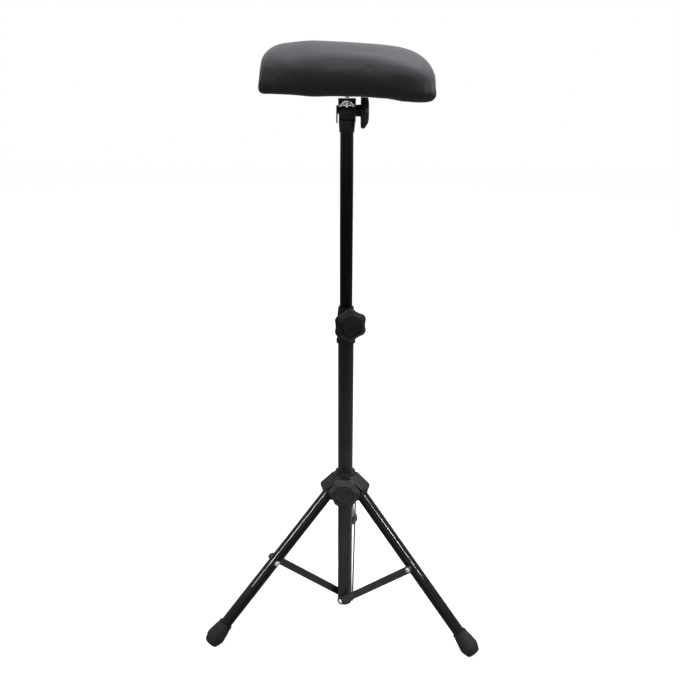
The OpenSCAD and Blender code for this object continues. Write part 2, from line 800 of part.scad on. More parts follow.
// Closed outline of half lengths a and b, a superellipse of the given power
function signed_power(value, power) = sign(value) * pow(abs(value), power);
function pad_ring(a, b, power) = [for (i = [0 : ring_points - 1])
    let (turn = (i + 1 / 2) * 360 / ring_points)
    [a * signed_power(cos(turn), 2 / power), b * signed_power(sin(turn), 2 / power)]];

// Levels of the cushion, from the middle of the pocket's roof round the hem to the crown's top.
// Each one holds its half lengths, its power and its height above the board's underside.
function level(inset, power, z) = [pad_w / 2 - inset, pad_d / 2 - inset, power, z];
function crown_level(angle) =
    let (share = signed_power(cos(angle), 2 / crown_power),
        rise_share = signed_power(sin(angle), 2 / crown_power))
    [pad_w / 2 * share, pad_d / 2 * share,
        top_power + (plan_power - top_power) * pow(1 - rise_share, corner_ease),
        pad_side_h - hem_drop + (pad_h - pad_side_h) * rise_share];
pocket_inset = board_inset - free_gap;
fold_inset = board_inset + hem_fold;
cushion_levels = [
    level(pocket_inset, plan_power, board_t + free_gap),
    level(pocket_inset, plan_power, -free_gap),
    level(fold_inset, plan_power, -free_gap),
    level(fold_inset, plan_power, -hem_drop + free_gap),
    level(fold_inset - hem_draw, plan_power, -hem_drop),
    level(hem_draw + free_gap, plan_power, -hem_drop),
    level(hem_draw / 3, plan_power, -hem_drop * 3 / 5),
    for (i = [0 : crown_steps]) crown_level(i * crown_end / crown_steps)];
cushion_points = [for (row = cushion_levels)
    for (spot = pad_ring(row[0], row[1], row[2])) [spot[0], spot[1], row[3]]];
cushion_rows = len(cushion_levels);
cushion_faces = [
    [for (i = [0 : ring_points - 1]) i],
    for (row = [0 : cushion_rows - 2]) for (i = [0 : ring_points - 1])
        let (next = (i + 1) % ring_points)
        [row * ring_points + i, (row + 1) * ring_points + i,
            (row + 1) * ring_points + next, row * ring_points + next],
    [for (i = [ring_points - 1 : -1 : 0]) (cushion_rows - 1) * ring_points + i]];

module pad_cushion() {
    color("#232325") pad_middle() polyhedron(points = cushion_points, faces = cushion_faces, convexity = 6);
}

// Staples through the folded hem into the board, their backs down
module staple() {
    for (side = [-1, 1]) {
        translate([side * (staple_w - staple_t) / 2 - staple_t / 2, -staple_t / 2, 0]) {
            cube([staple_t, staple_t, staple_leg]);
        }
    }
    translate([-staple_w / 2, -staple_t / 2, 0]) cube([staple_w, staple_t, staple_t]);
}

module pad_staples() {
    inset = board_inset + hem_fold * 3 / 4;
    run_x = pad_w - 2 * inset - hem_fold;
    run_y = pad_d - 2 * inset - hem_fold;
    color("#b9bbbc") pad_middle() translate([0, 0, -hem_drop - staple_t]) {
        for (side = [-1, 1], i = [0 : staples_long - 1]) {
            translate([(i / (staples_long - 1) - 1 / 2) * run_x, side * (pad_d / 2 - inset), 0]) {
                staple();
            }
        }
        for (side = [-1, 1], i = [0 : staples_short - 1]) {
            translate([side * (pad_w / 2 - inset), (i / (staples_short - 1) - 1 / 2) * run_y, 0]) {
                rotate([0, 0, 90]) staple();
            }
        }
    }
}

// Hub

module hub_arm_outline() {
    cheek_low = leg_pivot_z - leg_d;
    tip_z = leg_pivot_z + hub_tip_rise;
    polygon([[hub_sleeve_d / 3, cheek_low - leg_d / 2],
        [hub_sleeve_d / 2 + free_gap, cheek_low - leg_d / 5],
        [leg_pivot_r, cheek_low + leg_d / 6], [leg_pivot_r + leg_d / 2, cheek_low + leg_d / 2],
        [hub_arm_reach - leg_d / 4, leg_pivot_z - leg_d / 8],
        [hub_arm_reach - leg_d / 12, tip_z - leg_d / 4],
        [hub_arm_reach, tip_z - leg_d / 12], [hub_arm_reach - leg_d / 12, tip_z],
        [hub_arm_reach - leg_d / 5, tip_z + leg_d / 12], [hub_ring_d / 2, hub_top - hub_ring_h],
        [hub_sleeve_d / 3, hub_top - hub_ring_h]]);
}

// Room for a leg between the cheeks, under the roof and behind the lip at the arm's end
module leg_room_outline() {
    lip_in = leg_pivot_r + leg_swing_r + free_gap;
    wall_r = leg_pivot_r - leg_swing_r;
    lip_z = leg_pivot_z + hub_lip_rise;
    polygon([[wall_r, hub_bottom], [wall_r, leg_pivot_z + leg_swing_r],
        [leg_pivot_r + leg_d / 4, leg_pivot_z + leg_swing_r],
        [lip_in, leg_pivot_z + leg_d / 2 - hub_cheek_t / 2], [lip_in, lip_z],
        [hub_arm_reach + over, lip_z], [hub_arm_reach + over, hub_bottom]]);
}

// Extrudes an outline drawn in radius and height to the given width, centred on the leg's plane
module in_leg_plane(turn, width) {
    rotate([0, 0, turn]) translate([0, width / 2, 0]) rotate([90, 0, 0]) {
        linear_extrude(height = width) children();
    }
}

module hub() {
    flare_z = leg_pivot_z - leg_d;
    color("#262628") difference() {
        union() {
            translate([0, 0, hub_bottom]) {
                cylinder(d1 = hub_sleeve_d - hub_bevel, d2 = hub_sleeve_d, h = hub_bevel, $fn = fine);
            }
            translate([0, 0, hub_bottom + hub_bevel]) {
                cylinder(d = hub_sleeve_d, h = hub_top - hub_bottom - hub_ring_h, $fn = fine);
            }
            translate([0, 0, flare_z]) {
                cylinder(d1 = hub_sleeve_d, d2 = hub_ring_d, h = leg_d / 2, $fn = fine);
            }
            translate([0, 0, flare_z + leg_d / 2]) {
                cylinder(d = hub_ring_d, h = hub_top - flare_z - leg_d / 2, $fn = fine);
            }
            intersection() {
                for (turn = [left_turn, right_turn, rear_leg_turn]) {
                    in_leg_plane(turn, arm_w) hub_arm_outline();
                }
                translate([0, 0, hub_bottom]) {
                    cylinder(r = hub_arm_reach, h = hub_top - hub_bottom, $fn = fine);
                }
            }
            outward(hub_knob_turn, hub_knob_z) cylinder(d = hub_boss_d, h = hub_boss_reach, $fn = fine);
        }
        translate([0, 0, hub_bottom - over]) {
            cylinder(d = outer_tube_d + 2 * run_gap, h = hub_top - hub_bottom + 2 * over, $fn = fine);
        }
        for (turn = [left_turn, right_turn, rear_leg_turn]) {
            in_leg_plane(turn, slot_w) leg_room_outline();
            rotate([0, 0, turn]) translate([leg_pivot_r, arm_w, leg_pivot_z]) rotate([90, 0, 0]) {
                cylinder(d = leg_pin_d + 2 * seat_gap, h = 2 * arm_w, $fn = fine);
            }
        }
        outward(hub_knob_turn, hub_knob_z) {
            cylinder(d = screw_d + 2 * run_gap, h = hub_boss_reach + over, $fn = fine);
            translate([0, 0, hub_boss_reach - boss_nut_h]) {
                cylinder(d = (screw_hex + 2 * seat_gap) / cos(30), h = boss_nut_h + over, $fn = 6);
            }
        }
    }
}

module hub_nut() {
    color("#b9bbbc") outward(hub_knob_turn, hub_knob_z) translate([0, 0, hub_boss_reach - boss_nut_h]) {
        hex_nut(screw_hex, screw_d + 2 * run_gap, boss_nut_h);
    }
}

module hub_pins() {
    color("#c9cbcc") for (turn = [left_turn, right_turn, rear_leg_turn]) {
        rotate([0, 0, turn]) translate([leg_pivot_r, arm_w / 2, leg_pivot_z]) rotate([90, 0, 0]) {
            cylinder(d = leg_pin_d, h = arm_w, $fn = fine);
            translate([0, 0, arm_w]) dome(leg_pin_d + 2 * leg_pin_rise, leg_pin_rise);
            mirror([0, 0, 1]) dome(leg_pin_d + 2 * leg_pin_rise, leg_pin_rise);
        }
    }
}

module hub_knob_place() {
    outward(hub_knob_turn, hub_knob_z) translate([0, 0, hub_knob_back]) {
        rotate(180 / knob_lobes) children();
    }
}

module hub_knob() {
    color("#1d1d1f") hub_knob_place() screw_knob(hub_knob_back - hub_boss_reach - free_gap);
}

module hub_knob_cap() {
    color("#232325") hub_knob_place() knob_cap();
}

module hub_screw() {
    color("#b9bbbc") hub_knob_place() knob_screw(hub_knob_back - outer_tube_d / 2 - run_gap);
}

// Legs and struts

module leg(turn) {
    tube_len = leg_len - foot_sole + leg_top_len - leg_plug_rim;
    color("#1a1a1b") on_leg(turn) difference() {
        translate([0, 0, foot_sole - leg_len]) tube(leg_d, leg_wall, tube_len);
        leg_cross(0, leg_pin_d + 2 * run_gap, 2 * leg_d);
        leg_cross(knee_len, rivet_d + 2 * seat_gap, 2 * leg_d);
    }
}

module leg_plug(turn) {
    color("#2a2a2c") on_leg(turn) difference() {
        union() {
            translate([0, 0, leg_top_len - leg_plug_rim]) cylinder(d = leg_d, h = leg_plug_rim, $fn = fine);
            translate([0, 0, leg_top_len - leg_plug_len]) {
                cylinder(d = leg_bore_d - 2 * seat_gap, h = leg_plug_len - leg_plug_rim / 2, $fn = fine);
            }
        }
        leg_cross(0, leg_pin_d + 2 * run_gap, 2 * leg_d);
    }
}

module leg_foot(turn) {
    color("#242425") difference() {
        on_leg(turn) translate([0, 0, -leg_len]) difference() {
            rotate_extrude($fn = fine) {
                polygon([[0, 0], [foot_end_d / 2 - foot_round, 0], [foot_end_d / 2, foot_round],
                    [foot_belly_d / 2 - foot_round, foot_belly_rise - 2 * foot_round],
                    [foot_belly_d / 2, foot_belly_rise],
                    [foot_belly_d / 2 - foot_round, foot_belly_rise + 2 * foot_round],
                    [foot_neck_d / 2 + foot_round, foot_len - foot_neck_len],
                    [foot_neck_d / 2, foot_len], [0, foot_len]]);
            }
            translate([0, 0, foot_sole]) cylinder(d = leg_d + 2 * seat_gap, h = foot_len, $fn = fine);
        }
        translate([-leg_len, -leg_len, -foot_belly_d]) cube([2 * leg_len, 2 * leg_len, foot_belly_d]);
    }
}

// The head is on the side away from the strut
module leg_rivet(turn) {
    shank = leg_d - 2 * seat_gap;
    color("#c9cbcc") on_leg(turn) translate([0, leg_d / 2, -knee_len]) rotate([90, 0, 0]) {
        cylinder(d = rivet_d, h = shank, $fn = fine);
        mirror([0, 0, 1]) dome(rivet_head_d, rivet_head_h);
    }
}

module strut(turn) {
    color("#2e2e30") rotate([0, 0, turn]) translate([0, -strut_side, strut_pivot_z]) {
        rotate([90, -strut_angle, 0]) linear_extrude(height = strut_t) difference() {
            union() {
                translate([0, -strut_w / 2]) square([strut_len, strut_w]);
                circle(d = strut_w, $fn = fine);
                translate([strut_len, 0]) circle(d = strut_w, $fn = fine);
            }
            circle(d = rivet_d + 2 * run_gap, $fn = fine);
            translate([strut_len, 0]) circle(d = rivet_d + 2 * seat_gap, $fn = fine);
        }
    }
}

// The collar stops short of the leg, so that the two can part as the stand folds
module strut_rivet(turn) {
    collar = strut_side - leg_d / 2 - free_gap;
    color("#c9cbcc") rotate([0, 0, turn]) translate([knee_r, -leg_d / 2 - free_gap, knee_z]) {
        rotate([90, 0, 0]) {
            cylinder(d = rivet_collar_d, h = collar, $fn = fine);
            cylinder(d = rivet_d, h = collar + strut_t, $fn = fine);
            translate([0, 0, collar + strut_t]) dome(rivet_head_d, rivet_head_h);
        }
    }
}

outer_tube();
mast_foot();
anchor_rivets();
height_collar();
height_nut();
height_knob();
height_knob_cap();
height_screw();
inner_tube();
guide_bush();
mast_head();
head_pin();
tilt_bracket();
tilt_bolt();
tilt_washers();
tilt_knob();
tilt_knob_cap();
tilt_insert();
wing_nut();
pad_stud();
stud_plate();
plate_screws_set();
jam_nut();
pad_board();
pad_staples();
pad_cushion();
hub();
hub_nut();
hub_pins();
hub_knob();
hub_knob_cap();
hub_screw();
leg(left_turn);  // left_leg
leg_plug(left_turn);  // left_leg_plug
leg_foot(left_turn);  // left_leg_foot
leg_rivet(left_turn);  // left_leg_rivet
strut(left_turn);  // left_strut
strut_rivet(left_turn);  // left_strut_rivet
leg(right_turn);  // right_leg
leg_plug(right_turn);  // right_leg_plug
leg_foot(right_turn);  // right_leg_foot
leg_rivet(right_turn);  // right_leg_rivet
strut(right_turn);  // right_strut
strut_rivet(right_turn);  // right_strut_rivet
leg(rear_leg_turn);  // rear_leg
leg_plug(rear_leg_turn);  // rear_leg_plug
leg_foot(rear_leg_turn);  // rear_leg_foot
leg_rivet(rear_leg_turn);  // rear_leg_rivet
strut(rear_leg_turn);  // rear_strut
strut_rivet(rear_leg_turn);  // rear_strut_rivet
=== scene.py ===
"""Looks of a folding tripod stand with a telescoping mast and a padded arm rest."""

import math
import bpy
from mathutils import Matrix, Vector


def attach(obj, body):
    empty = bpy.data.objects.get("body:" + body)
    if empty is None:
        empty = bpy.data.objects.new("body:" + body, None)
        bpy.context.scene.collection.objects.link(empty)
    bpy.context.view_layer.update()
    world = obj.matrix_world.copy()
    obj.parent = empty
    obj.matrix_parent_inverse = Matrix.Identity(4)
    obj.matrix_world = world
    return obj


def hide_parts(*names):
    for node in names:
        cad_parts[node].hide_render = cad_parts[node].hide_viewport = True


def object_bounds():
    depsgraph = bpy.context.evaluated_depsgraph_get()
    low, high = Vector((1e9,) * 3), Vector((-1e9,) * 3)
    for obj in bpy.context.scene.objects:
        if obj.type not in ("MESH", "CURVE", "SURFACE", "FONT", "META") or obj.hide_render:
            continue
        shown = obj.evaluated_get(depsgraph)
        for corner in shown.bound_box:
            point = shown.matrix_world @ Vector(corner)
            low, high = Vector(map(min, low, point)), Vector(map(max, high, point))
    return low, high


bl_info = {
    "name": "Tattoo Arm Rest Stand",
    "version": (1, 0, 0),
    "blender": (4, 5, 0),
    "location": "View3D > Sidebar > Arm Rest Stand",
    "description": "Dresses the frame of a tripod arm rest stand with its pieces and finishes",
    "category": "Object",
}

import bmesh
import bpy
from mathutils import Matrix, Vector, noise
from mathutils.bvhtree import BVHTree

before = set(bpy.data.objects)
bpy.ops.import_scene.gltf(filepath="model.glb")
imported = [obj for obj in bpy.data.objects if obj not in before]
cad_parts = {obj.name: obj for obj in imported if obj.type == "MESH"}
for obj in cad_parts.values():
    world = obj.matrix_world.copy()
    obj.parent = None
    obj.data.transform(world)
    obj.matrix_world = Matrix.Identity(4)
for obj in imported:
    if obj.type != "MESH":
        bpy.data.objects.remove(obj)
cad_low, cad_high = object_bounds()

MM = 0.001
NOISE = "ShaderNodeTexNoise"
CELLS = "ShaderNodeTexVoronoi"
CLOTH_FRAMES = 20


# Sizes and places of the stand, in millimetres and degrees

SEAT_GAP = 0.05
TUBE_WALL = 1.2
TUBE_LIP = 0.35
OUTER_TUBE_RADIUS = 14
OUTER_TUBE_LOW = 4
OUTER_TUBE_TOP = 598
INNER_TUBE_RADIUS = 11
INNER_TUBE_LOW = 307
INNER_TUBE_TOP = 938
MAST_FOOT_TOP = 26

LEG_TURNS = {"rear": 87.0, "left": 207.0, "right": 327.0}
LEG_PIVOT = (30, 0, 269.66)
LEG_TILT = 44.1
LEG_RADIUS = 11
LEG_LENGTH = 363.6
LEG_TOP = 6
LEG_PLUG_LOW = -13
LEG_PLUG_RIM = 1

FOOT_SOLE = 7
FOOT_TOP = 45

# Outline of a rubber foot from its sole up: radius, height and corner radius
FOOT_OUTLINE = (
    (0, 0, 0), (12.9, 0, 0.8), (13.2, 1, 0.6), (16.6, 10.5, 1.5), (17.3, 12.2, 1), (17.5, 14, 1),
    (17.3, 16, 1.5), (14.7, 34, 2.5), (13.7, 37.2, 1.5), (13.55, 41.2, 0.2), (13.15, 41.6, 0.1),
    (13.15, 42.2, 0.1), (13.5, 42.6, 0.2), (13.5, FOOT_TOP, 0.7), (LEG_RADIUS + SEAT_GAP, FOOT_TOP, 0.3),
    (LEG_RADIUS + SEAT_GAP, FOOT_SOLE, 0.5), (0, FOOT_SOLE, 0))

KNOB_LOBES = 6
KNOB_LOBE_RADIUS = 10.5
KNOB_LOBE_REACH = 19.5
KNOB_CORE_RADIUS = 26.4
KNOB_NOTCH_SHARPNESS = 1.3
KNOB_TRIM = 0.03
KNOB_FACE_RADIUS = 19.4
KNOB_NECK_RADIUS = 9.25

# Star part of a knob from its back to its face: height, share of the round face and inset from the star
KNOB_STAR = (
    (0, 0.1, 4.0), (0.05, 0, 2.2), (0.4, 0, 1.1), (1.1, 0, 0.3), (2.2, 0, 0), (4.6, 0, 0.2), (6.2, 0, 0.8),
    (7.3, 0.04, 1.7), (8.4, 0.12, 2.9), (9.4, 0.26, 3.9), (10.2, 0.45, 4.2), (10.9, 0.66, 4.1),
    (11.4, 0.84, 3.6), (11.75, 0.95, 3.0))

# Seat of a knob's cap, and the cap: height and radius
KNOB_SEAT = ((12.0, 18.6), (12.0, 18.1), (11.9, 17.7), (11.5, 17.3), (10.8, 17.2), (10.7, 16.5))
KNOB_CAP = ((10.75, 16.6), (11.6, 17.0), (12.15, 16.85), (12.5, 16.3), (12.7, 15.4), (12.82, 13.5),
            (12.92, 10), (12.98, 6))

CLAMP_NECK = 8.2
TILT_NECK = 8.0
COLLAR_KNOB_TURN = 283
COLLAR_KNOB_Z = 606
COLLAR_KNOB_BACK = 30
HUB_KNOB_TURN = LEG_TURNS["rear"] + 180
HUB_KNOB_Z = 275.96
HUB_KNOB_BACK = 35
TILT_AXIS_Z = 960.4
TILT_KNOB_BACK = 22.4

STUD_Y = -16
BOARD_Z = 993.5
PAD_TURN = 5
PAD_LEAN = 2.9
PAD_SHIFT = -4
PAD_HALF_WIDTH = 134
PAD_HALF_DEPTH = 92
PAD_CROWN = 70
HEM_WIDTH = 6
HEM_ROOF = 12
HEM_BOTTOM = -8.5
HEM_FADE = (26, -4)
PLEAT_CENTRE = (103, 62)
PLEAT_REACH = 46

# Room for the board and the opening within the hem: half width, half depth, bottom, top and corner radius
BOARD_POCKET = (125.5, 83.3, -1, 9.4, 10)
HEM_OPENING = (107, 65, -20, 4, 14)


# The photograph's camera and the lamps, in metres, with the sensor in millimetres

PIXELS = 680
FOCAL_PIXELS = 752.45
SENSOR_WIDTH = 36.0
CAMERA_PLACE = (-0.01052, -1.26448, 1.02780)
CAMERA_RIGHT = (0.999998, 0.000615, 0.00169)
CAMERA_UP = (-0.001797, 0.342149, 0.939644)
FLOOR_GAP = 0.0002
TOP_LAMP_PLACE = (0.65, 0.06, 2.8)
TOP_LAMP_AIM = (0, 0, 1.0)
TOP_LAMP_SIZE = (1.2, 0.8)

# Lamps beside the stand: name, place, point aimed at, direction of the length, and length
STRIPS = (
    ("Left strip", (-0.804, -0.524, 0.734), (-0.105, -0.059, 0.19), (-0.567, -0.282, -0.773), 0.38),
    ("Right strip", (0.635, -0.662, 0.784), (0.085, -0.062, 0.204), (0.55, -0.343, -0.76), 0.33))


# Settings


class StandFinishSettings(bpy.types.PropertyGroup):
    inner_paint: bpy.props.FloatVectorProperty(
        name="Inner tube", description="Colour of the inner tube's gloss paint",
        default=(0.0075, 0.0075, 0.0079), subtype="COLOR", min=0, max=1)
    outer_paint: bpy.props.FloatVectorProperty(
        name="Outer tube", description="Colour of the outer tube's paint",
        default=(0.0125, 0.0125, 0.0131), subtype="COLOR", min=0, max=1)
    leg_paint: bpy.props.FloatVectorProperty(
        name="Legs", description="Colour of the legs' gloss paint",
        default=(0.0026, 0.0026, 0.0028), subtype="COLOR", min=0, max=1)
    strut_paint: bpy.props.FloatVectorProperty(
        name="Struts", description="Colour of the struts' satin paint",
        default=(0.0155, 0.0155, 0.0161), subtype="COLOR", min=0, max=1)
    bracket_paint: bpy.props.FloatVectorProperty(
        name="Bracket", description="Colour of the bracket's paint",
        default=(0.006, 0.006, 0.0063), subtype="COLOR", min=0, max=1)
    plastic: bpy.props.FloatVectorProperty(
        name="Plastic", description="Colour of the moulded plastic pieces",
        default=(0.009, 0.009, 0.0095), subtype="COLOR", min=0, max=1)
    rubber: bpy.props.FloatVectorProperty(
        name="Rubber", description="Colour of the rubber feet",
        default=(0.0075, 0.0075, 0.0078), subtype="COLOR", min=0, max=1)
    zinc: bpy.props.FloatVectorProperty(
        name="Zinc", description="Colour of the bright zinc plating",
        default=(0.72, 0.73, 0.74), subtype="COLOR", min=0, max=1)
    brass: bpy.props.FloatVectorProperty(
        name="Brass", description="Colour of the tilt knob's brass insert",
        default=(0.62, 0.42, 0.17), subtype="COLOR", min=0, max=1)
    plastic_grain: bpy.props.FloatProperty(
        name="Plastic grain", description="Size of the moulded grain",
        default=0.45 * MM, min=0.1 * MM, max=3 * MM, unit="LENGTH", precision=5)


class PadSettings(bpy.types.PropertyGroup):
    leather: bpy.props.FloatVectorProperty(
        name="Cover", description="Colour of the cover",
        default=(0.055, 0.0535, 0.0595), subtype="COLOR", min=0, max=1)
    late_wood: bpy.props.FloatVectorProperty(
        name="Dark grain", description="Colour of the dark grain in the board's veneer",
        default=(0.33, 0.20, 0.10), subtype="COLOR", min=0, max=1)
    early_wood: bpy.props.FloatVectorProperty(
        name="Light grain", description="Colour of the light grain in the board's veneer",
        default=(0.56, 0.40, 0.24), subtype="COLOR", min=0, max=1)
    grain: bpy.props.FloatProperty(
        name="Grain", description="Size of the cover's pebble grain",
        default=1.1 * MM, min=0.3 * MM, max=5 * MM, unit="LENGTH", precision=5)
    voxel: bpy.props.FloatProperty(
        name="Voxel", description="Size of the cells in which the cushion is inflated",
        default=5 * MM, min=3 * MM, max=8 * MM, unit="LENGTH", precision=5)
    swell: bpy.props.FloatProperty(
        name="Swell", description="Largest way a point of the cushion moves as it is inflated",
        default=4 * MM, min=0, max=12 * MM, unit="LENGTH", precision=5)
    stray: bpy.props.FloatProperty(
        name="Stray", description="Largest distance of the inflated cushion from the solid's surface",
        default=0.8 * MM, min=0.2 * MM, max=3 * MM, unit="LENGTH", precision=5)
    shrink: bpy.props.FloatProperty(
        name="Shrink", description="Depth by which the cushion is smaller before it is inflated",
        default=0.4 * MM, min=0, max=6 * MM, unit="LENGTH", precision=5)
    droop: bpy.props.FloatProperty(
        name="Droop", description="Depth by which the slack hem hangs below the solid",
        default=4.4 * MM, min=0, max=6 * MM, unit="LENGTH", precision=5)
    fill: bpy.props.FloatProperty(
        name="Fill", description="Depth by which the foam fills the ends beyond the solid",
        default=3.4 * MM, min=0, max=6 * MM, unit="LENGTH", precision=5)
    square: bpy.props.FloatProperty(
        name="Squareness", description="How far the hem stands out at both ends",
        default=1.7 * MM, min=0, max=4 * MM, unit="LENGTH", precision=5)
    pleat: bpy.props.FloatProperty(
        name="Pleat", description="Depth of the pleats at the corners",
        default=1.1 * MM, min=0, max=3 * MM, unit="LENGTH", precision=5)
    crease: bpy.props.FloatProperty(
        name="Crease", description="Depth of the crease over the hem at the front right corner",
        default=0.9 * MM, min=0, max=3 * MM, unit="LENGTH", precision=5)
    ripple: bpy.props.FloatProperty(
        name="Ripple", description="Depth of the ripples in the hem's side",
        default=0.5 * MM, min=0, max=3 * MM, unit="LENGTH", precision=5)
    wave: bpy.props.FloatProperty(
        name="Hem wave", description="Height of the waves along the hem",
        default=1.3 * MM, min=0, max=3 * MM, unit="LENGTH", precision=5)


class StageSettings(bpy.types.PropertyGroup):
    floor: bpy.props.FloatProperty(
        name="Floor", description="Side of the floor", default=14.0, min=3, unit="LENGTH")
    floor_shade: bpy.props.FloatProperty(
        name="Floor shade", description="Grey of the floor in the light", default=0.35, min=0, max=1)
    floor_glow: bpy.props.FloatProperty(
        name="Floor glow", description="Light that the camera sees the floor give off",
        default=0.94, min=0, max=1)
    top_light: bpy.props.FloatProperty(
        name="Top light", description="Power of the lamp above the stand",
        default=110.0, min=0, subtype="POWER")
    side_light: bpy.props.FloatProperty(
        name="Side lights", description="Power of each lamp beside the stand",
        default=0.36, min=0, subtype="POWER")
    side_width: bpy.props.FloatProperty(
        name="Side lights' width", description="Width of each lamp beside the stand",
        default=0.02, min=0.001, unit="LENGTH")
    side_spread: bpy.props.FloatProperty(
        name="Side lights' spread", description="Angle into which each lamp beside the stand shines",
        default=math.radians(30), min=0, max=math.pi, subtype="ANGLE")
    sky: bpy.props.FloatProperty(
        name="Room light", description="Strength of the soft light of the room",
        default=0.12, min=0, max=2)


# Finishes


def start_material(name):
    """A material with its node tree, its shader and its Object coordinates."""
    material = bpy.data.materials.new(name)
    material.use_nodes = True
    tree = material.node_tree
    shader = tree.nodes["Principled BSDF"]
    coords = tree.nodes.new("ShaderNodeTexCoord")
    return material, tree, shader, coords.outputs["Object"]


def pattern(tree, coords, kind, size, stretch=None, **values):
    """A texture whose features have the given size, in metres."""
    texture = tree.nodes.new(kind)
    texture.inputs["Scale"].default_value = 1 / size
    for name, value in values.items():
        texture.inputs[name].default_value = value
    if stretch:
        mapping = tree.nodes.new("ShaderNodeMapping")
        mapping.inputs["Scale"].default_value = stretch
        tree.links.new(coords, mapping.inputs["Vector"])
        coords = mapping.outputs["Vector"]
    tree.links.new(coords, texture.inputs["Vector"])
    return texture


def spread(tree, value, low, high, start=0.0, end=1.0):
    """Maps a pattern's value from start..end to low..high."""
    node = tree.nodes.new("ShaderNodeMapRange")
    for name, number in (("From Min", start), ("From Max", end), ("To Min", low), ("To Max", high)):
        node.inputs[name].default_value = number
    tree.links.new(value, node.inputs["Value"])
    return node.outputs["Result"]


def shade_between(tree, factor, dark, light):
    """A colour that goes from dark to light with a factor."""
    mix = tree.nodes.new("ShaderNodeMix")
    mix.data_type = "RGBA"
    mix.inputs[6].default_value = (*dark, 1)
    mix.inputs[7].default_value = (*light, 1)
    tree.links.new(factor, mix.inputs[0])
    return mix.outputs[2]


def relief(tree, height, depth, strength, under=None):
    """Bumps of the given depth, in metres, on top of an underlying relief."""
    bump = tree.nodes.new("ShaderNodeBump")
    bump.inputs["Distance"].default_value = depth
    bump.inputs["Strength"].default_value = strength
    tree.links.new(height, bump.inputs["Height"])
    if under is not None:
        tree.links.new(under, bump.inputs["Normal"])
    return bump.outputs["Normal"]


def scaled(colour, factor):
    """A colour made lighter or darker by a factor."""
    return tuple(min(1.0, c * factor) for c in colour)


def paint(name, colour, rough, gloss):
    """Baked enamel on steel tube: a faint orange peel, dust and long rub marks."""
    material, tree, shader, coords = start_material(name)
    peel = pattern(tree, coords, NOISE, 1.6 * MM, Detail=2.0)
    dust = pattern(tree, coords, NOISE, 28 * MM, Detail=5.0, Roughness=0.6)
    rubs = pattern(tree, coords, NOISE, 5 * MM, (1, 1, 0.05), Detail=4.0, Roughness=0.7)
    dusty = spread(tree, dust.outputs["Fac"], 0, 1, 0.35, 0.75)
    shade = shade_between(tree, dusty, scaled(colour, 0.85), scaled(colour, 1.5))
    rubbed = spread(tree, rubs.outputs["Fac"], rough * 0.96, rough * 1.12, 0.35, 0.75)
    tree.links.new(shade, shader.inputs["Base Color"])
    tree.links.new(rubbed, shader.inputs["Roughness"])
    tree.links.new(relief(tree, peel.outputs["Fac"], 0.004 * MM, 0.6), shader.inputs["Normal"])
    shader.inputs["Specular IOR Level"].default_value = gloss
    return material


def plastic(name, colour, rough, grain, gloss=0.3):
    """Injection moulded plastic with a spark-eroded grain and slight flow marks."""
    material, tree, shader, coords = start_material(name)
    pits = pattern(tree, coords, CELLS, grain)
    fine = pattern(tree, coords, NOISE, grain * 0.7, Detail=3.0)
    flow = pattern(tree, coords, NOISE, 17 * MM, Detail=4.0, Distortion=0.6)
    flowed = spread(tree, flow.outputs["Fac"], 0, 1, 0.3, 0.7)
    shade = shade_between(tree, flowed, scaled(colour, 0.8), scaled(colour, 1.35))
    worn = spread(tree, flow.outputs["Fac"], rough * 0.9, rough * 1.12, 0.3, 0.7)
    tree.links.new(shade, shader.inputs["Base Color"])
    tree.links.new(worn, shader.inputs["Roughness"])
    pitted = relief(tree, pits.outputs["Distance"], 0.05 * MM, 0.55)
    tree.links.new(relief(tree, fine.outputs["Fac"], 0.03 * MM, 0.5, pitted), shader.inputs["Normal"])
    shader.inputs["Specular IOR Level"].default_value = gloss
    return material


def rubber(name, colour):
    """Dusty matt rubber with scuffs near its sole."""
    material, tree, shader, coords = start_material(name)
    bloom = pattern(tree, coords, NOISE, 9 * MM, Detail=6.0, Roughness=0.65)
    crumb = pattern(tree, coords, NOISE, 0.6 * MM, Detail=2.0)
    place = tree.nodes.new("ShaderNodeSeparateXYZ")
    tree.links.new(coords, place.inputs["Vector"])
    sole = spread(tree, place.outputs["Z"], 0.7, 0.0, 0.0, 9 * MM)
    scuffs = tree.nodes.new("ShaderNodeMath")
    scuffs.operation = "MULTIPLY_ADD"
    tree.links.new(sole, scuffs.inputs[0])
    tree.links.new(bloom.outputs["Fac"], scuffs.inputs[1])
    tree.links.new(spread(tree, bloom.outputs["Fac"], 0.0, 0.6, 0.35, 0.8), scuffs.inputs[2])
    shade = shade_between(tree, scuffs.outputs["Value"], scaled(colour, 0.8), scaled(colour, 2.4))
    tree.links.new(shade, shader.inputs["Base Color"])
    tree.links.new(spread(tree, bloom.outputs["Fac"], 0.62, 0.85, 0.3, 0.7), shader.inputs["Roughness"])
    tree.links.new(relief(tree, crumb.outputs["Fac"], 0.06 * MM, 0.5), shader.inputs["Normal"])
    shader.inputs["Specular IOR Level"].default_value = 0.25
    return material


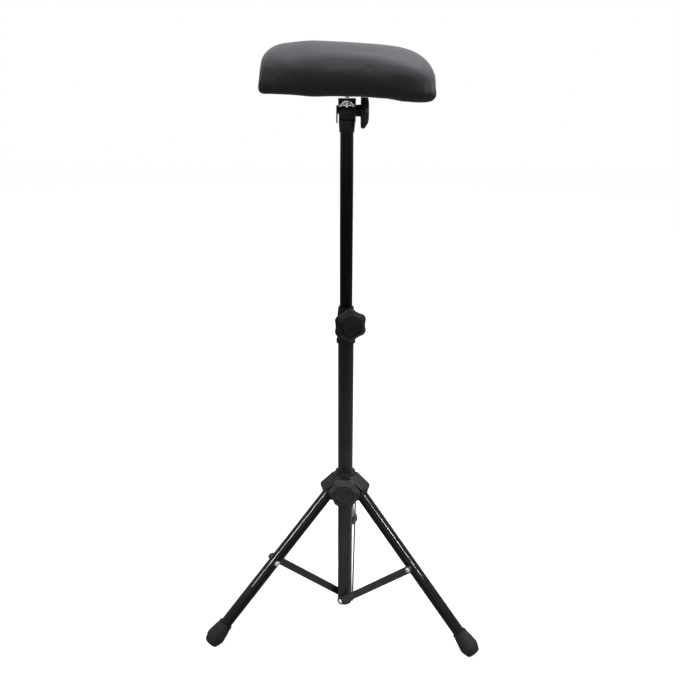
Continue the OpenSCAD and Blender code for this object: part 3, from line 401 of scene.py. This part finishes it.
def bright_metal(name, colour, rough):
    """Zinc plate or brass with fine turning marks and a slightly clouded finish."""
    material, tree, shader, coords = start_material(name)
    marks = pattern(tree, coords, NOISE, 0.5 * MM, (1, 1, 0.2), Detail=3.0)
    cloud = pattern(tree, coords, NOISE, 4 * MM, Detail=4.0)
    clouded = spread(tree, cloud.outputs["Fac"], 0, 1, 0.3, 0.75)
    tree.links.new(shade_between(tree, clouded, scaled(colour, 0.72), colour), shader.inputs["Base Color"])
    dulled = spread(tree, cloud.outputs["Fac"], rough, rough * 1.7, 0.3, 0.7)
    tree.links.new(dulled, shader.inputs["Roughness"])
    tree.links.new(relief(tree, marks.outputs["Fac"], 0.02 * MM, 0.5), shader.inputs["Normal"])
    shader.inputs["Metallic"].default_value = 1.0
    return material


def plywood(name, dark, light):
    """Plywood: a light face veneer with long grain and darker pores."""
    material, tree, shader, coords = start_material(name)
    bands = pattern(tree, coords, NOISE, 14 * MM, (0.12, 1, 1), Detail=6.0, Distortion=0.8)
    pores = pattern(tree, coords, NOISE, 1.2 * MM, (0.06, 1, 1), Detail=3.0)
    banded = spread(tree, bands.outputs["Fac"], 0, 1, 0.35, 0.65)
    tree.links.new(shade_between(tree, banded, dark, light), shader.inputs["Base Color"])
    tree.links.new(spread(tree, pores.outputs["Fac"], 0.55, 0.8, 0.3, 0.7), shader.inputs["Roughness"])
    tree.links.new(relief(tree, pores.outputs["Fac"], 0.08 * MM, 0.6), shader.inputs["Normal"])
    return material


def leather(name, colour, grain):
    """Coated black cover: pebble grain with creases between the pebbles, and a soft sheen."""
    material, tree, shader, coords = start_material(name)
    warp = pattern(tree, coords, NOISE, 6 * MM, Detail=2.0)
    pebbles = pattern(tree, coords, CELLS, grain)
    pebbles.feature = "DISTANCE_TO_EDGE"
    warped = tree.nodes.new("ShaderNodeVectorMath")
    warped.operation = "MULTIPLY_ADD"
    warped.inputs[1].default_value = (0.9 * MM,) * 3
    tree.links.new(warp.outputs["Color"], warped.inputs[0])
    tree.links.new(coords, warped.inputs[2])
    tree.links.new(warped.outputs["Vector"], pebbles.inputs["Vector"])
    pores = pattern(tree, coords, NOISE, grain * 0.35, Detail=2.0)
    wear = pattern(tree, coords, NOISE, 45 * MM, Detail=5.0, Roughness=0.6)
    worn = spread(tree, wear.outputs["Fac"], 0, 1, 0.35, 0.7)
    shade = shade_between(tree, worn, scaled(colour, 0.94), scaled(colour, 1.12))
    tree.links.new(shade, shader.inputs["Base Color"])
    tree.links.new(spread(tree, wear.outputs["Fac"], 0.46, 0.56, 0.3, 0.7), shader.inputs["Roughness"])
    creases = spread(tree, pebbles.outputs["Distance"], 0, 1, 0.0, 0.16)
    pebbled = relief(tree, creases, 0.05 * MM, 0.5)
    tree.links.new(relief(tree, pores.outputs["Fac"], 0.03 * MM, 0.4, pebbled), shader.inputs["Normal"])
    shader.inputs["Specular IOR Level"].default_value = 0.04
    shader.inputs["Sheen Weight"].default_value = 0.06
    shader.inputs["Sheen Roughness"].default_value = 0.5
    return material


finishes = {}


def mix_finishes():
    """Makes every finish of the stand from the settings."""
    look = bpy.context.scene.stand_finish
    pad = bpy.context.scene.stand_pad
    black = look.plastic
    grain = look.plastic_grain
    finishes.update({
        "inner_paint": paint("Inner tube gloss paint", look.inner_paint, 0.22, 0.11),
        "mast_paint": paint("Outer tube paint", look.outer_paint, 0.34, 0.2),
        "leg_paint": paint("Leg gloss paint", look.leg_paint, 0.06, 0.16),
        "strut_paint": paint("Strut satin paint", look.strut_paint, 0.42, 0.3),
        "bracket_paint": paint("Bracket paint", look.bracket_paint, 0.35, 0.3),
        "black_plastic": plastic("Moulded black plastic", black, 0.48, grain, 0.14),
        "knob_plastic": plastic("Knob plastic", scaled(black, 1.8), 0.42, grain * 0.8, 0.16),
        # The head's plastic is the same black made 2.3 times lighter: painted light that makes up for the
        # shade the pad casts over the head.
        "head_plastic_painted_light": plastic("Head plastic with painted light", scaled(black, 2.3), 0.44, grain, 0.2),
        "plug_plastic": plastic("Plug plastic", scaled(black, 1.5), 0.5, grain),
        "foot_rubber": rubber("Foot rubber", look.rubber),
        "zinc": bright_metal("Bright zinc", look.zinc, 0.22),
        "brass": bright_metal("Brass", look.brass, 0.28),
        "board_wood": plywood("Board plywood", pad.late_wood, pad.early_wood),
        "pad_leather": leather("Black cover", pad.leather, pad.grain),
    })


# Shapes


def in_place(shape, name, body, slot, nodes, place=None, smooth=35):
    """Turns a bmesh into a finished piece that rides on a body and replaces CAD nodes."""
    if place is not None:
        bmesh.ops.transform(shape, matrix=place, verts=shape.verts)
    mesh = bpy.data.meshes.new(name)
    shape.to_mesh(mesh)
    shape.free()
    mesh.shade_smooth()
    mesh.set_sharp_from_angle(angle=math.radians(smooth))
    piece = bpy.data.objects.new(name, mesh)
    bpy.context.scene.collection.objects.link(piece)
    mesh.materials.append(finishes[slot])
    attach(piece, body)
    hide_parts(*nodes)
    return piece


def turned(profile, segments=96):
    """A turned solid about Z from (radius, height) points."""
    shape = bmesh.new()
    verts = [shape.verts.new((max(r, 0) * MM, 0, z * MM)) for r, z in profile]
    pairs = zip(verts, verts[1:] + verts[:1])
    edges = [shape.edges.new(pair) for pair in pairs if max(v.co.x for v in pair) > 0]
    bmesh.ops.spin(shape, geom=verts + edges, cent=(0, 0, 0), axis=(0, 0, 1), angle=2 * math.pi,
                   steps=segments, use_merge=True, use_duplicate=False)
    bmesh.ops.remove_doubles(shape, verts=shape.verts, dist=1e-6)
    bmesh.ops.recalc_face_normals(shape, faces=shape.faces)
    return shape


def soft_corners(outline, steps=3):
    """Points of an outline of (radius, height, corner radius), with its corners rounded."""
    points = [Vector((r, z)) for r, z, _ in outline]
    corners = [corner for _, _, corner in outline]
    made = []
    for i, point in enumerate(points):
        before = points[i - 1] - point
        after = points[(i + 1) % len(points)] - point
        reach = min(corners[i], before.length * 0.49, after.length * 0.49)
        if reach <= 1e-6 or point.x <= 0:
            made.append(tuple(point))
            continue
        start = point + before.normalized() * reach
        end = point + after.normalized() * reach
        for k in range(steps + 1):
            t = k / steps
            made.append(tuple(start * (1 - t) ** 2 + point * 2 * t * (1 - t) + end * t ** 2))
    return made


def stacked(levels, segments=192):
    """A closed shape about Z, pulled up through levels of (height, radius or outline function)."""
    shape = bmesh.new()
    bmesh.ops.create_circle(shape, cap_ends=True, radius=MM, segments=segments)

    def fit(verts, level):
        height, outline = level
        for vert in verts:
            angle = math.atan2(vert.co.y, vert.co.x)
            reach = outline(angle) if callable(outline) else outline
            vert.co = (reach * MM * math.cos(angle), reach * MM * math.sin(angle), height * MM)

    face = shape.faces[:][0]
    fit(face.verts, levels[0])
    for level in levels[1:]:
        pulled = bmesh.ops.extrude_face_region(shape, geom=[face], use_keep_orig=level is levels[1])
        face = [g for g in pulled["geom"] if isinstance(g, bmesh.types.BMFace)][0]
        fit(face.verts, level)
    bmesh.ops.recalc_face_normals(shape, faces=shape.faces)
    return shape


def rounded_copy(node, width):
    """A merged copy of a CAD node's mesh with its sharp edges rounded by width."""
    shape = bmesh.new()
    shape.from_mesh(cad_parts[node].data)
    bmesh.ops.remove_doubles(shape, verts=shape.verts, dist=2e-6)
    bmesh.ops.dissolve_limit(shape, angle_limit=math.radians(0.6), verts=shape.verts, edges=shape.edges)
    sharp = [e for e in shape.edges
             if len(e.link_faces) == 2 and e.calc_face_angle(0) > math.radians(28)]
    bmesh.ops.bevel(shape, geom=sharp, offset=width * MM, offset_type="OFFSET", segments=2,
                    profile=0.5, affect="EDGES", clamp_overlap=True, material=-1)
    return shape


def place_at(x=0.0, y=0.0, z=0.0):
    """A move, in millimetres."""
    return Matrix.Translation((x * MM, y * MM, z * MM))


def turn_about(axis, degrees):
    """A turn about one of the axes."""
    return Matrix.Rotation(math.radians(degrees), 4, axis)


def outward(turn, z):
    """From Z to the direction that looks out from the mast at a turn and a height."""
    return turn_about("Z", turn) @ place_at(z=z) @ turn_about("Y", 90)


def on_leg(turn):
    """From Z to a leg's own axis, with zero at its pivot."""
    return turn_about("Z", turn) @ place_at(*LEG_PIVOT) @ turn_about("Y", -LEG_TILT)


def paint_node(node, slot):
    """Gives a CAD node whose shape is right its finish."""
    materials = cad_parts[node].data.materials
    materials.clear()
    materials.append(finishes[slot])


def tube_piece(name, body, slot, node, outer, low, high, place=None):
    """A tube about Z with softened lips, whose walls stay straight between its ends."""
    inner = outer - TUBE_WALL
    end = 1.5
    profile = soft_corners(
        [(inner, low, TUBE_LIP), (outer, low, TUBE_LIP), (outer, low + end, 0), (outer, high - end, 0),
         (outer, high, TUBE_LIP), (inner, high, TUBE_LIP), (inner, high - end, 0), (inner, low + end, 0)], 2)
    return in_place(turned(profile, 128), name, body, slot, [node], place, 50)


# Pieces


class STAND_OT_mast(bpy.types.Operator):
    """Makes the two tubes of the mast, the foot in the lower end and the guide bush"""
    bl_idname = "stand.mast"
    bl_label = "Mast tubes"

    def execute(self, context):
        tube_piece("mast_outer_tube", "mast", "mast_paint", "outer_tube", OUTER_TUBE_RADIUS,
                   OUTER_TUBE_LOW, OUTER_TUBE_TOP)
        tube_piece("mast_inner_tube", "inner_mast", "inner_paint", "inner_tube", INNER_TUBE_RADIUS,
                   INNER_TUBE_LOW, INNER_TUBE_TOP)
        plug_radius = OUTER_TUBE_RADIUS - TUBE_WALL - SEAT_GAP
        foot = turned(soft_corners(
            [(0, 0, 0), (OUTER_TUBE_RADIUS, 0, 3), (OUTER_TUBE_RADIUS, OUTER_TUBE_LOW, 0.3),
             (plug_radius, OUTER_TUBE_LOW, 0), (plug_radius, MAST_FOOT_TOP, 0.8), (0, MAST_FOOT_TOP, 0)], 5))
        in_place(foot, "mast_end_cap", "mast", "plug_plastic", ["mast_foot"])
        paint_node("guide_bush", "plug_plastic")
        return {"FINISHED"}


def knob_edge(angle):
    """Reach of a star knob's outline, soft in the notches between its lobes."""
    period = 2 * math.pi / KNOB_LOBES
    off = (angle + period / 2) % period - period / 2
    across = KNOB_LOBE_REACH * math.sin(off)
    lobe = KNOB_LOBE_REACH * math.cos(off) + math.sqrt(KNOB_LOBE_RADIUS ** 2 - across ** 2)
    over = math.log(math.exp((lobe - KNOB_CORE_RADIUS) * KNOB_NOTCH_SHARPNESS) + 1) / KNOB_NOTCH_SHARPNESS
    return over + KNOB_CORE_RADIUS - KNOB_TRIM


def knob_level(share, inset):
    """Outline between the star, at a share of 0, and the round face, at 1."""
    return lambda angle: (knob_edge(angle) - inset) * (1 - share) + KNOB_FACE_RADIUS * share


def star_knob(neck):
    """A star knob about Z from its neck, of the given length, to its cap's seat."""
    sleeve = [(-neck, KNOB_NECK_RADIUS - 0.6), (-neck + 0.6, KNOB_NECK_RADIUS), (-1.6, KNOB_NECK_RADIUS),
              (-0.5, 9.7), (0, 11)]
    star = [(height, knob_level(share, inset)) for height, share, inset in KNOB_STAR]
    return stacked([*sleeve, *star, *KNOB_SEAT])


class STAND_OT_knobs(bpy.types.Operator):
    """Makes the three star knobs with their caps, screws and nuts"""
    bl_idname = "stand.knobs"
    bl_label = "Star knobs"

    def execute(self, context):
        half_lobe = turn_about("Z", 180 / KNOB_LOBES)
        collar_place = outward(COLLAR_KNOB_TURN, COLLAR_KNOB_Z) @ place_at(z=COLLAR_KNOB_BACK)
        hub_place = outward(HUB_KNOB_TURN, HUB_KNOB_Z) @ place_at(z=HUB_KNOB_BACK) @ half_lobe
        tilt_place = place_at(TILT_KNOB_BACK, 0, TILT_AXIS_Z) @ turn_about("Y", 90) @ half_lobe
        for name, place, neck in (
                ("height", collar_place, CLAMP_NECK),
                ("hub", hub_place, CLAMP_NECK),
                ("tilt", tilt_place, TILT_NECK)):
            body = f"{name}_clamp"
            in_place(star_knob(neck), f"{name}_star_knob", body, "knob_plastic", [f"{name}_knob"], place, 60)
            in_place(stacked(KNOB_CAP, 96), f"{name}_knob_disc", body, "knob_plastic",
                     [f"{name}_knob_cap"], place, 60)
        for node in ("height_screw", "hub_screw", "height_nut", "hub_nut"):
            paint_node(node, "zinc")
        paint_node("tilt_insert", "brass")
        return {"FINISHED"}


class STAND_OT_collar(bpy.types.Operator):
    """Makes the moulded collar at the outer tube's top end"""
    bl_idname = "stand.collar"
    bl_label = "Height collar"

    def execute(self, context):
        in_place(rounded_copy("height_collar", 0.5), "mast_collar", "mast", "black_plastic",
                 ["height_collar"], smooth=40)
        return {"FINISHED"}


class STAND_OT_hub(bpy.types.Operator):
    """Makes the moulded hub with its three arms, and the pins of the legs"""
    bl_idname = "stand.hub"
    bl_label = "Tripod hub"

    def execute(self, context):
        in_place(rounded_copy("hub", 0.6), "tripod_hub", "spider", "black_plastic", ["hub"], smooth=40)
        paint_node("hub_pins", "zinc")
        return {"FINISHED"}


class STAND_OT_legs(bpy.types.Operator):
    """Makes the three tubular legs with their rubber feet, end plugs and rivets"""
    bl_idname = "stand.legs"
    bl_label = "Legs and feet"

    def execute(self, context):
        plug_radius = LEG_RADIUS - TUBE_WALL - SEAT_GAP
        for side, turn in LEG_TURNS.items():
            place = on_leg(turn)
            body = f"{side}_leg_arm"
            tube_piece(f"{side}_tripod_leg", body, "leg_paint", f"{side}_leg", LEG_RADIUS,
                       FOOT_SOLE - LEG_LENGTH, LEG_TOP, place)
            plug = turned(soft_corners(
                [(0, LEG_PLUG_LOW, 0), (plug_radius, LEG_PLUG_LOW, 1), (plug_radius, LEG_TOP, 0),
                 (LEG_RADIUS, LEG_TOP, 0.2), (LEG_RADIUS, LEG_TOP + LEG_PLUG_RIM, 0.7),
                 (0, LEG_TOP + LEG_PLUG_RIM, 0)]))
            in_place(plug, f"{side}_leg_end_plug", body, "plug_plastic", [f"{side}_leg_plug"], place)
            foot = turned(soft_corners(FOOT_OUTLINE))
            bmesh.ops.transform(foot, matrix=place @ place_at(z=-LEG_LENGTH), verts=foot.verts)
            cut = bmesh.ops.bisect_plane(foot, geom=foot.verts[:] + foot.edges[:] + foot.faces[:],
                                         plane_co=(0, 0, 0), plane_no=(0, 0, -1), clear_outer=True)
            rim = [g for g in cut["geom_cut"] if isinstance(g, bmesh.types.BMEdge)]
            bmesh.ops.holes_fill(foot, edges=rim, sides=0)
            in_place(foot, f"{side}_rubber_foot", body, "foot_rubber", [f"{side}_leg_foot"])
            paint_node(f"{side}_leg_rivet", "zinc")
        return {"FINISHED"}


class STAND_OT_struts(bpy.types.Operator):
    """Makes the three flat struts and their rivets"""
    bl_idname = "stand.struts"
    bl_label = "Struts"

    def execute(self, context):
        for side in LEG_TURNS:
            body = f"{side}_strut_arm"
            in_place(rounded_copy(f"{side}_strut", 0.45), f"{side}_flat_strut", body, "strut_paint",
                     [f"{side}_strut"], smooth=40)
            paint_node(f"{side}_strut_rivet", "zinc")
        paint_node("anchor_rivets", "zinc")
        return {"FINISHED"}


class STAND_OT_head(bpy.types.Operator):
    """Makes the mast head, the tilt bracket and what clamps them"""
    bl_idname = "stand.head"
    bl_label = "Tilting head"

    def execute(self, context):
        head = in_place(rounded_copy("mast_head", 0.5), "tilt_head", "inner_mast", "black_plastic",
                        ["mast_head"], smooth=40)
        # The head takes the lightened plastic, whose colour holds painted light over the pad's shadow.
        head.data.materials[0] = finishes["head_plastic_painted_light"]
        in_place(rounded_copy("tilt_bracket", 0.4), "pad_bracket", "bracket", "bracket_paint",
                 ["tilt_bracket"], smooth=40)
        in_place(rounded_copy("wing_nut", 0.35), "stud_wing_nut", "wing_lock", "zinc",
                 ["wing_nut"], smooth=45)
        paint_node("tilt_washers", "plug_plastic")
        for node in ("head_pin", "tilt_bolt", "pad_stud", "jam_nut", "plate_screws_set"):
            paint_node(node, "zinc")
        paint_node("stud_plate", "bracket_paint")
        return {"FINISHED"}


def pad_matrix():
    """From the pad's own frame, under the middle of its board, to the stand's."""
    stud = place_at(0, STUD_Y, BOARD_Z)
    return stud @ turn_about("Z", PAD_TURN) @ turn_about("Y", PAD_LEAN) @ place_at(PAD_SHIFT, -STUD_Y, 0)


def apply_modifiers(piece):
    """Replaces an object's mesh by what its modifiers make of it, and returns the new mesh."""
    graph = bpy.context.evaluated_depsgraph_get()
    mesh = bpy.data.meshes.new_from_object(piece.evaluated_get(graph))
    piece.modifiers.clear()
    piece.data = mesh
    return mesh


def eased(shape, verts, times):
    """Smooths a part of a shape so that the faces of the solid don't show in it."""
    for _ in range(times):
        bmesh.ops.smooth_vert(shape, verts=verts, factor=0.5,
                              use_axis_x=True, use_axis_y=True, use_axis_z=True)


def held_near(mesh, form, stray):
    """Brings points back that are further than stray from the surface of the solid."""
    for vert in mesh.vertices:
        near = form.find_nearest(vert.co)[0]
        off = vert.co - near
        if off.length > stray:
            vert.co = near + off * (stray / off.length)


def inflated(shape_mesh, form, pad):
    """Remeshes the loaf, inflates it as cloth and holds it near the form of the solid."""
    loaf = bpy.data.objects.new("loaf", shape_mesh)
    bpy.context.scene.collection.objects.link(loaf)
    remesh = loaf.modifiers.new("cells", "REMESH")
    remesh.mode = "VOXEL"
    remesh.voxel_size = pad.voxel
    baked = apply_modifiers(loaf)
    shape = bmesh.new()
    shape.from_mesh(baked)
    eased(shape, shape.verts, 1)
    eased(shape, [v for v in shape.verts if v.co.z > 52 * MM], 5)
    shape.to_mesh(baked)
    shape.free()
    held = loaf.vertex_groups.new(name="held")
    for vert in baked.vertices:
        height = vert.co.z / MM
        held.add([vert.index], min(1, max(0, (6 - height) / 12)), "REPLACE")
    cloth = loaf.modifiers.new("cloth", "CLOTH")
    cloth.settings.quality = 5
    cloth.settings.use_pressure = True
    cloth.settings.uniform_pressure_force = 4
    cloth.settings.effector_weights.gravity = 0
    cloth.settings.vertex_group_mass = "held"
    cloth.point_cache.frame_start = 1
    cloth.point_cache.frame_end = CLOTH_FRAMES
    for step in range(1, CLOTH_FRAMES + 1):
        bpy.context.scene.frame_set(step)
    result = apply_modifiers(loaf)
    for vert, first in zip(result.vertices, baked.vertices):
        move = vert.co - first.co
        if move.length > pad.swell:
            vert.co = first.co + move.normalized() * pad.swell
    bpy.context.scene.frame_set(1)
    bpy.data.objects.remove(loaf)
    held_near(result, form, pad.stray)
    shape = bmesh.new()
    shape.from_mesh(result)
    eased(shape, [v for v in shape.verts if v.co.z > 0], 1)
    shape.to_mesh(result)
    shape.free()
    return result


def ramp(value, start, end):
    """Rises smoothly from 0 at start to 1 at end, whichever of them is larger."""
    t = min(1, max(0, (value - start) / (end - start)))
    return t * t * (3 - 2 * t)


def block(half_width, half_depth, low, high, corner):
    """A block about the pad's middle with its upright edges rounded, in millimetres."""
    shape = bmesh.new()
    bmesh.ops.create_cube(shape, size=1)
    size = Vector((2 * half_width, 2 * half_depth, high - low)) * MM
    bmesh.ops.scale(shape, vec=size, verts=shape.verts)
    bmesh.ops.translate(shape, vec=(0, 0, (low + high) / 2 * MM), verts=shape.verts)
    upright = [e for e in shape.edges if abs(e.verts[0].co.z - e.verts[1].co.z) > size.z / 2]
    bmesh.ops.bevel(shape, geom=upright, offset=corner * MM, offset_type="OFFSET", segments=8, profile=0.5,
                    affect="EDGES", material=-1)
    mesh = bpy.data.meshes.new("block")
    shape.to_mesh(mesh)
    shape.free()
    cutter = bpy.data.objects.new("block", mesh)
    bpy.context.scene.collection.objects.link(cutter)
    return cutter


class STAND_OT_cushion(bpy.types.Operator):
    """Makes the padded arm rest with its drawn hem and corner pleats, its board and its staples"""
    bl_idname = "stand.cushion"
    bl_label = "Arm rest"

    def execute(self, context):
        pad = context.scene.stand_pad
        to_stand = pad_matrix()
        loaf, form = self.loaf(to_stand.inverted(), pad)
        cushion = bpy.data.objects.new("arm_rest_cushion", inflated(loaf, form, pad))
        context.scene.collection.objects.link(cushion)
        finer = cushion.modifiers.new("finer", "SUBSURF")
        finer.levels = finer.render_levels = 1
        swollen = apply_modifiers(cushion)
        self.fill(swollen, pad)
        self.pleat(swollen, pad)
        cutters = [block(*BOARD_POCKET), block(*HEM_OPENING)]
        for cutter in cutters:
            cut = cushion.modifiers.new("cut", "BOOLEAN")
            cut.operation = "DIFFERENCE"
            cut.solver = "EXACT"
            cut.object = cutter
        swollen = apply_modifiers(cushion)
        for cutter in cutters:
            bpy.data.objects.remove(cutter)
        swollen.transform(to_stand)
        swollen.materials.clear()
        swollen.materials.append(finishes["pad_leather"])
        swollen.shade_smooth()
        swollen.set_sharp_from_angle(angle=math.radians(50))
        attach(cushion, "arm_rest")
        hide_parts("pad_cushion")
        paint_node("pad_board", "board_wood")
        paint_node("pad_staples", "zinc")
        return {"FINISHED"}

    def loaf(self, to_pad, pad):
        """The solid's outer form without its pocket, a little smaller, and that form's full surface."""
        shape = bmesh.new()
        shape.from_mesh(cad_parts["pad_cushion"].data)
        bmesh.ops.transform(shape, matrix=to_pad, verts=shape.verts)
        bmesh.ops.remove_doubles(shape, verts=shape.verts, dist=2e-6)
        half_width = PAD_HALF_WIDTH * MM
        half_depth = PAD_HALF_DEPTH * MM
        hem = HEM_WIDTH * MM
        for vert in shape.verts:
            within = abs(vert.co.x) < half_width - hem and abs(vert.co.y) < half_depth - hem
            if within and vert.co.z < HEM_ROOF * MM:
                vert.co.z = HEM_BOTTOM * MM
        form = BVHTree.FromBMesh(shape)
        for vert in shape.verts:
            share = min(1, max(0, (vert.co.z / MM + 4) / 14))
            vert.co.x -= share * pad.shrink * vert.co.x / half_width
            vert.co.y -= share * pad.shrink * vert.co.y / half_depth
            vert.co.z -= share * pad.shrink * max(0, vert.co.z) / (PAD_CROWN * MM)
        loaf = bpy.data.meshes.new("loaf")
        shape.to_mesh(loaf)
        shape.free()
        return loaf, form

    def fill(self, mesh, pad):
        """Fills the ends' shoulders, and flattens the middle of the top a little."""
        moves = []
        for vert in mesh.vertices:
            x, y, z = (c / MM for c in vert.co)
            right = ramp(x, 45, 115) * (0.45 + 0.55 * ramp(z, 8, 36)) * ramp(z, -6, 4)
            left = 0.75 * ramp(-x, 80, 112) * ramp(z, 22, 45)
            middle = -0.3 * ramp(60 - abs(x), 0, 40) * ramp(z, 50, 66)
            moves.append(vert.normal * pad.fill * (right + left + middle))
        for vert, move in zip(mesh.vertices, moves):
            vert.co += move

    def pleat(self, mesh, pad):
        """Folds pleats into the corners' lower part, waves the hem and lets its slack ends hang."""
        centre_x, centre_y = PLEAT_CENTRE
        for vert in mesh.vertices:
            x, y, z = (c / MM for c in vert.co)
            edge = max(abs(x) / PAD_HALF_WIDTH, abs(y) / PAD_HALF_DEPTH)
            if edge < 0.6:
                continue
            out = Vector((x, y, 0)).normalized()
            hem = ramp(z, *HEM_FADE)
            front = ramp(-y, 30, 84)

            from_corner = math.hypot(PAD_HALF_WIDTH - abs(x), PAD_HALF_DEPTH - abs(y))
            corner = max(0, 1 - from_corner / PLEAT_REACH)
            low = ramp(z, 36, 4) * ramp(z, -9, -3)
            along = math.atan2(abs(y) - centre_y, abs(x) - centre_x)
            seed = (1 if x > 0 else 2) + (0 if y > 0 else 4)
            fold = math.sin(along * 17 + seed + 0.02 * z) + 0.5 * math.sin(along * 29 + seed * 3)
            dent = pad.pleat * corner * low * (fold - 0.6) * 0.7
            ripple = noise.noise(Vector((x * 0.045, y * 0.045, z * 0.03)))
            crease = math.exp(-((z + 4.4) / 1.1) ** 2) * ramp(x, 70, 96) * front
            vert.co += out * (dent + ripple * pad.ripple * hem)
            vert.co -= out * crease * pad.crease

            square = pad.square * ramp(z, 14, -3) * ramp(abs(x), 92, 126)
            vert.co.x += math.copysign(square, x)
            vert.co.z += (0.5 if x > 0 else -0.8) * square * ramp(edge, 0.84, 0.96)

            wave = noise.noise(Vector((x * 0.024, y * 0.024, 7.3)))
            right = ramp(x, 56, 86) * (1 - 0.5 * ramp(x, 100, 132)) * (0.4 + 0.6 * front)
            slack = 0.1 + 0.85 * max(right, 0.65 * ramp(-x, 10, 60))
            vert.co.z += wave * pad.wave * hem * ramp(edge, 0.6, 0.8) - pad.droop * slack * hem


# Stage


def aim_lamp(name, where, target, size, power, along):
    """A rectangular lamp; its second size runs along the given direction."""
    lamp = bpy.data.lights.new(name, "AREA")
    lamp.shape = "RECTANGLE"
    lamp.size, lamp.size_y = size
    lamp.energy = power
    holder = bpy.data.objects.new(name, lamp)
    back = (Vector(where) - Vector(target)).normalized()
    side = Vector(along).cross(back).normalized()
    axes = Matrix((side, back.cross(side), back)).transposed().to_4x4()
    holder.matrix_world = Matrix.Translation(where) @ axes
    bpy.context.scene.collection.objects.link(holder)
    return holder


def seen_white(tree):
    """One for rays from the camera, a reflection or glass, and nought for other light."""
    path = tree.nodes.new("ShaderNodeLightPath")
    total = None
    for name in ("Is Camera Ray", "Is Glossy Ray", "Is Transmission Ray"):
        if total is None:
            total = path.outputs[name]
            continue
        add = tree.nodes.new("ShaderNodeMath")
        add.operation = "MAXIMUM"
        tree.links.new(total, add.inputs[0])
        tree.links.new(path.outputs[name], add.inputs[1])
        total = add.outputs["Value"]
    return total


class STAND_OT_stage(bpy.types.Operator):
    """Makes the floor, the lamps, the room light and the camera"""
    bl_idname = "stand.stage"
    bl_label = "Stage"

    def execute(self, context):
        scene = context.scene
        stage = scene.stand_stage
        shape = bmesh.new()
        bmesh.ops.create_grid(shape, x_segments=1, y_segments=1, size=stage.floor / 2)
        mesh = bpy.data.meshes.new("Floor")
        shape.to_mesh(mesh)
        shape.free()
        floor = bpy.data.objects.new("Floor", mesh)
        floor.location.z = cad_low.z - FLOOR_GAP
        scene.collection.objects.link(floor)
        material = bpy.data.materials.new("Pale floor")
        material.use_nodes = True
        tree = material.node_tree
        shader = tree.nodes["Principled BSDF"]
        grey = stage.floor_shade
        shader.inputs["Base Color"].default_value = (grey, grey, grey, 1)
        shader.inputs["Roughness"].default_value = 0.9
        shader.inputs["Specular IOR Level"].default_value = 0.0
        glow = tree.nodes.new("ShaderNodeMath")
        glow.operation = "MULTIPLY"
        glow.inputs[1].default_value = stage.floor_glow
        tree.links.new(tree.nodes.new("ShaderNodeLightPath").outputs["Is Camera Ray"], glow.inputs[0])
        shader.inputs["Emission Color"].default_value = (1, 1, 1, 1)
        tree.links.new(glow.outputs["Value"], shader.inputs["Emission Strength"])
        mesh.materials.append(material)

        world = bpy.data.worlds.new("Studio")
        world.use_nodes = True
        tree = world.node_tree
        background = tree.nodes["Background"]
        background.inputs["Color"].default_value = (1, 1, 1, 1)
        tree.links.new(spread(tree, seen_white(tree), stage.sky, 1.0), background.inputs["Strength"])
        scene.world = world

        aim_lamp("Top softbox", TOP_LAMP_PLACE, TOP_LAMP_AIM, TOP_LAMP_SIZE, stage.top_light, (0, 1, 0))
        for name, where, knee, along, reach in STRIPS:
            strip = aim_lamp(name, where, knee, (stage.side_width, reach), stage.side_light, along)
            strip.data.spread = stage.side_spread

        camera = bpy.data.cameras.new("Photo camera")
        camera.sensor_width = SENSOR_WIDTH
        camera.lens = FOCAL_PIXELS / PIXELS * camera.sensor_width
        camera.clip_start = 0.05
        camera.clip_end = 100
        holder = bpy.data.objects.new("Photo camera", camera)
        right = Vector(CAMERA_RIGHT)
        up = Vector(CAMERA_UP)
        ahead = up.cross(right)
        axes = Matrix((right, up, -ahead)).transposed().to_4x4()
        holder.matrix_world = Matrix.Translation(CAMERA_PLACE) @ axes
        scene.collection.objects.link(holder)
        scene.camera = holder
        scene.view_settings.view_transform = "Standard"
        return {"FINISHED"}


PIECES = [STAND_OT_mast, STAND_OT_knobs, STAND_OT_collar, STAND_OT_hub, STAND_OT_legs, STAND_OT_struts,
          STAND_OT_head, STAND_OT_cushion]


class STAND_PT_sidebar(bpy.types.Panel):
    """Settings of the arm rest stand and the buttons that make its pieces"""
    bl_idname = "STAND_PT_sidebar"
    bl_label = "Arm Rest Stand"
    bl_space_type = "VIEW_3D"
    bl_region_type = "UI"
    bl_category = "Arm Rest Stand"

    def draw(self, context):
        layout = self.layout
        for owner in (context.scene.stand_finish, context.scene.stand_pad, context.scene.stand_stage):
            box = layout.box()
            for name in owner.__annotations__:
                box.prop(owner, name)
        for kind in [*PIECES, STAND_OT_stage]:
            layout.operator(kind.bl_idname)


CLASSES = [StandFinishSettings, PadSettings, StageSettings, *PIECES, STAND_OT_stage, STAND_PT_sidebar]


def register():
    for kind in CLASSES:
        bpy.utils.register_class(kind)
    bpy.types.Scene.stand_finish = bpy.props.PointerProperty(type=StandFinishSettings)
    bpy.types.Scene.stand_pad = bpy.props.PointerProperty(type=PadSettings)
    bpy.types.Scene.stand_stage = bpy.props.PointerProperty(type=StageSettings)


def unregister():
    del bpy.types.Scene.stand_stage
    del bpy.types.Scene.stand_pad
    del bpy.types.Scene.stand_finish
    for kind in reversed(CLASSES):
        bpy.utils.unregister_class(kind)


def main():
    register()
    mix_finishes()
    for kind in [*PIECES, STAND_OT_stage]:
        group, name = kind.bl_idname.split(".")
        if getattr(getattr(bpy.ops, group), name)() != {"FINISHED"}:
            raise RuntimeError(f"{kind.bl_label} did not finish")


if __name__ == "__main__":
    main()
